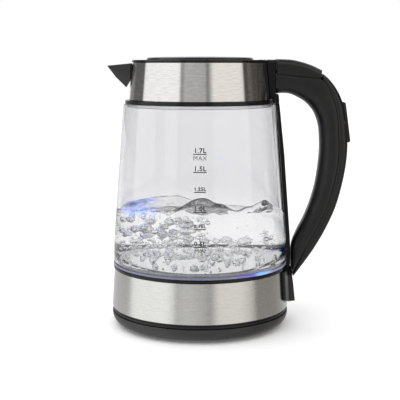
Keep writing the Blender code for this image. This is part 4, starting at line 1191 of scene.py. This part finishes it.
def make_spine():
    """The strip up the glass, with the hinge bracket at the collar."""
    ring_clear = RING_RADIUS + WALL_GAP
    back, root = 67.0, 15.05
    levels = [(SKIRT_HIGH + 0.2, GLASS_RADIUS + WALL_GAP, None, STRIP_WIDTH)]
    levels += [(z, glass_radius(z) + WALL_GAP, None, STRIP_WIDTH)
               for z in (*spaced(GLASS_LOW, CONE_START, 13), *spaced(100, 155, 4))]
    top = GLASS_HIGH - 1.6
    levels += [
        (top, glass_radius(top) + WALL_GAP, 70.9, STRIP_WIDTH + 1), (RING_LOW, ring_clear + 0.9, 70.4, 10.5),
        (BAND_LOW, ring_clear, 70.2, 13.6), (BAND_LOW + 0.6, BAND_RADIUS + 0.4, 70.0, 14.0),
    ]
    levels += [(z, band_radius(z) + 0.4, outer, width) for z, outer, width in (
        (206.5, 69.8, 14.4), (208.1, 69.4, 14.8), (208.5, back, root - 0.1), (211.0, back, root),
        (BAND_HIGH - 5, back, root))]
    levels += [(z, BAND_TOP_RADIUS + gap, back - lean, root - narrower) for z, gap, lean, narrower in (
        (BAND_HIGH - 0.8, 0.6, 0.0, 0.0), (RIM_TOP - 1.6, 0.62, 0.0, 0.4), (RIM_TOP - 0.6, 0.7, 0.1, 1.2),
        (RIM_TOP + 0.1, 1.0, 0.3, 2.4))]
    sections = []
    for height, inner, outer, width in levels:
        outer = outer or inner + STRIP_DEPTH
        near = [(math.sqrt(inner ** 2 - y ** 2), y) for y in spaced(-width, width, 13)]
        far = [(outer - 1.0 * abs(y / width) ** 8, y) for y in spaced(width, -width, 21)]
        sections.append([(x, y, height) for x, y in near + far])
    spine = lofted("handle_spine_fine", sections)
    carve(spine, block("well", (55, -EAR_WIDTH - 0.5, 231.2), (72, EAR_WIDTH + 0.5, 242)),
          crossbar("pin", HINGE, 14.0, PIN_BORE), *handle_openings(55, 72))
    settle(even_normals(spine), "jug", "black_plastic", "handle_spine", material=SHADED_SPINE_PLASTIC)


def make_mount():
    """The foot of the handle: a flange round the skirt with a rib in the middle."""
    angle, thickness, rib_width = math.radians(22.0), 2.4, 8.0
    low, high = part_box("handle_mount")[0].z / MM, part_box("handle_mount")[1].z / MM
    rise = 7.0
    ribs = [(blend(low, high, share), x) for share, x in
            ((0.0, 86.8), (0.5, 85.1), (0.7, 84.2), (0.84, 83.8), (1.0, 82.6))]

    def rib_at(height):
        for (z0, x0), (z1, x1) in zip(ribs, ribs[1:]):
            if height <= z1:
                return blend(x0, x1, (height - z0) / (z1 - z0))
        return ribs[-1][1]

    sections = []
    edge = 0.9
    steps = [(low, edge), (low + 0.3 * edge, 0.3 * edge), (low + edge, 0.0)]
    steps += [(z, 0.0) for z in spaced(low + 3, high - 3, 9)]
    steps += [(high - edge, 0.0), (high - 0.3 * edge, 0.3 * edge), (high, edge)]
    for height, inset in steps:
        share = (height - low) / (high - low)

        def lifted(x, y):
            """Raises the lower edge of the flange towards its sides, and keeps it on the skirt's cone."""
            turn = math.atan2(y, x)
            z = blend(low + rise * (turn / angle) ** 2, high, share)
            closer = (skirt_radius(z) - skirt_radius(height)) / math.hypot(x, y)
            return x * (1 + closer), y * (1 + closer), z

        inner = skirt_radius(height) + WALL_GAP
        outer = inner + thickness - 0.6 * inset
        reach = angle - inset / outer
        rib = rib_at(height) - 0.8 * inset
        foot = math.asin((rib_width + 2.2) / outer)
        half = [(*around(outer, reach), 0.8)]
        half += [(*around(outer, a), 0) for a in spaced(reach - 0.02, foot + 0.02, 7)]
        half += [(*around(outer, foot), 2.0), (rib, rib_width - inset, 1.4)]
        outline = half + [(x, -y, r) for x, y, r in reversed(half)]
        rounded = fillet(outline + [(*around(inner, a), 0) for a in spaced(-reach, reach, 25)], 0, 5)
        sections.append([lifted(x, y) for x, y in rounded])
    mount = lofted("handle_foot_flange", sections)
    settle(even_normals(mount), "jug", "black_plastic", "handle_mount")


# -------------------------------------------------------------------------- studio and camera

CAMERA_DISTANCE = 0.854
CAMERA_HEIGHT = 0.238
CAMERA_PITCH = math.radians(8.37)
CAMERA_LENS = 85.6


def make_camera():
    camera = bpy.data.cameras.new("camera")
    camera.lens = CAMERA_LENS
    camera.sensor_width = 36.0
    obj = linked("camera", camera)
    obj.location = (0.0, -CAMERA_DISTANCE, CAMERA_HEIGHT)
    obj.rotation_euler = (math.pi / 2 - CAMERA_PITCH, 0.0, 0.0)
    bpy.context.scene.camera = obj


# Brightness of the studio walls by bearing in degrees: 0 behind the camera, + to the right.
STUDIO_WALLS = (
    (-180, (0.92, 0.92, 0.93)), (-158, (0.90, 0.90, 0.91)), (-152, 0.28), (-138, 0.28), (-132, 0.12),
    (-105, 0.12), (-102, 1.27), (-34, 1.27), (-31, 0.34), (-27, 0.36), (-25, (0.56, 0.56, 0.55)),
    (9, (0.52, 0.52, 0.51)), (11, (0.22, 0.22, 0.21)), (14, (0.30, 0.30, 0.29)), (22, (1.12, 1.08, 1.03)),
    (74, (1.12, 1.08, 1.03)), (77, (0.07, 0.062, 0.055)), (83, (0.07, 0.062, 0.055)),
    (86, (0.15, 0.135, 0.125)), (92, (0.15, 0.135, 0.125)), (96, (0.075, 0.068, 0.06)),
    (149, (0.06, 0.055, 0.05)), (153, (0.90, 0.90, 0.91)), (180, (0.92, 0.92, 0.93)),
)
# The same for rays that run down to the table before they meet a wall.
LOW_WALLS = (
    (-180, 0.80), (-146, (0.68, 0.67, 0.66)), (-108, (0.72, 0.71, 0.70)), (-103, (0.76, 0.76, 0.75)),
    (-97, (1.14, 1.15, 1.12)), (-46, (1.14, 1.15, 1.12)), (-38, (0.90, 0.90, 0.88)),
    (-32, (0.68, 0.68, 0.67)), (-20, (0.77, 0.77, 0.76)), (-12, (0.77, 0.77, 0.76)),
    (3, (0.62, 0.61, 0.60)), (10, (0.52, 0.50, 0.49)), (16, (0.55, 0.53, 0.51)),
    (25, (0.86, 0.84, 0.81)), (52, (0.91, 0.88, 0.85)), (60, (0.82, 0.79, 0.76)),
    (69, (0.60, 0.58, 0.55)), (76, (0.40, 0.38, 0.355)), (118, (0.42, 0.40, 0.38)),
    (150, (0.65, 0.64, 0.62)), (180, 0.80),
)
WALL_SCALE = 1.8            # a ramp ends at 1, so the walls are divided by this and scaled up again
CEILING = (1.75, 1.75, 1.76)
CEILING_TILT = -0.45        # the ceiling is brighter to the left, so that shadows fall to the right
SEEN_THROUGH_GLASS = (1.1, 1.1, 1.11, 1.0)
SHARE_THROUGH_GLASS = 0.7   # of the light that comes through the glass, how much is that even tone
ZENITH_DIMMING = 0.85       # right overhead, for reflections only
FLOOR_GLOW = 0.09
FLOOR_RADIUS = 6.0


def make_world():
    """White walls with dark flags between them, as an environment; the camera sees plain white."""
    world = bpy.data.worlds.new("studio")
    bpy.context.scene.world = world
    world.use_nodes = True
    world.node_tree.nodes.clear()
    nodes = Nodes(world.node_tree)
    x, y, z = nodes.axes(nodes.node("TexCoord").outputs["Generated"])
    ray = nodes.node("LightPath").outputs
    bearing = nodes.math("ARCTAN2", x, nodes.math("MULTIPLY", y, -1.0))
    turn = nodes.math("ADD", nodes.math("DIVIDE", bearing, 2 * math.pi), 0.5)

    def walls(stops):
        shades = [((degrees + 180) / 360, tinted(colour, 1 / WALL_SCALE)) for degrees, colour in stops]
        return nodes.ramp(turn, *shades)

    shaded = nodes.mix(nodes.rise(z, -0.02, -0.09), walls(STUDIO_WALLS), walls(LOW_WALLS))
    sides = nodes.scaled(shaded, WALL_SCALE)
    zenith = nodes.math("MULTIPLY", nodes.rise(z, 0.80, 0.92), ray["Is Glossy Ray"])
    dimmed = nodes.math("ADD", nodes.math("MULTIPLY", zenith, -ZENITH_DIMMING), 1.0)
    tilted = nodes.math("ADD", nodes.math("MULTIPLY", x, CEILING_TILT), 1.0)
    ceiling = nodes.scaled(CEILING, nodes.math("MULTIPLY", tilted, dimmed))
    room = nodes.mix(nodes.ramp(z, (0.55, 0.0), (0.68, 1.0)), sides, ceiling)
    share = nodes.math("MULTIPLY", ray["Is Transmission Ray"], SHARE_THROUGH_GLASS)
    lit = nodes.made("Background", {0: nodes.mix(share, room, SEEN_THROUGH_GLASS)})
    seen = nodes.made("Background", {0: (*WHITE, 1.0)})
    output = nodes.node("OutputWorld")
    nodes.link(nodes.made("MixShader", {0: ray["Is Camera Ray"], 1: lit, 2: seen}), output.inputs[0])
    bpy.context.scene.view_settings.view_transform = "Standard"


def make_floor():
    """A pale floor that glows a little, and that reflections don't show."""
    bm = bmesh.new()
    bmesh.ops.create_circle(bm, cap_ends=True, radius=FLOOR_RADIUS, segments=64)
    floor = object_from("studio_floor", bm, smooth=False)
    paint = Shader("floor_paint", (0.93, 0.93, 0.93), 0.7)
    paint.vary("Base Color", paint.noise(paint.point, 8.0), (0.0, 0.92), (1.0, 0.94))
    paint.set("Emission Color", (*WHITE, 1.0))
    paint.set("Emission Strength", FLOOR_GLOW)
    floor.data.materials.append(paint.material)
    floor.visible_glossy = False


paint_cad_nodes()
make_camera()
make_world()
make_floor()
make_base()
make_socket()
make_jug_bottom()
make_glass()
make_scale()
make_water()
make_collar()
make_spout()
make_filter()
make_lid()
make_grip()
make_button()
make_rocker()
make_spine()
make_mount()
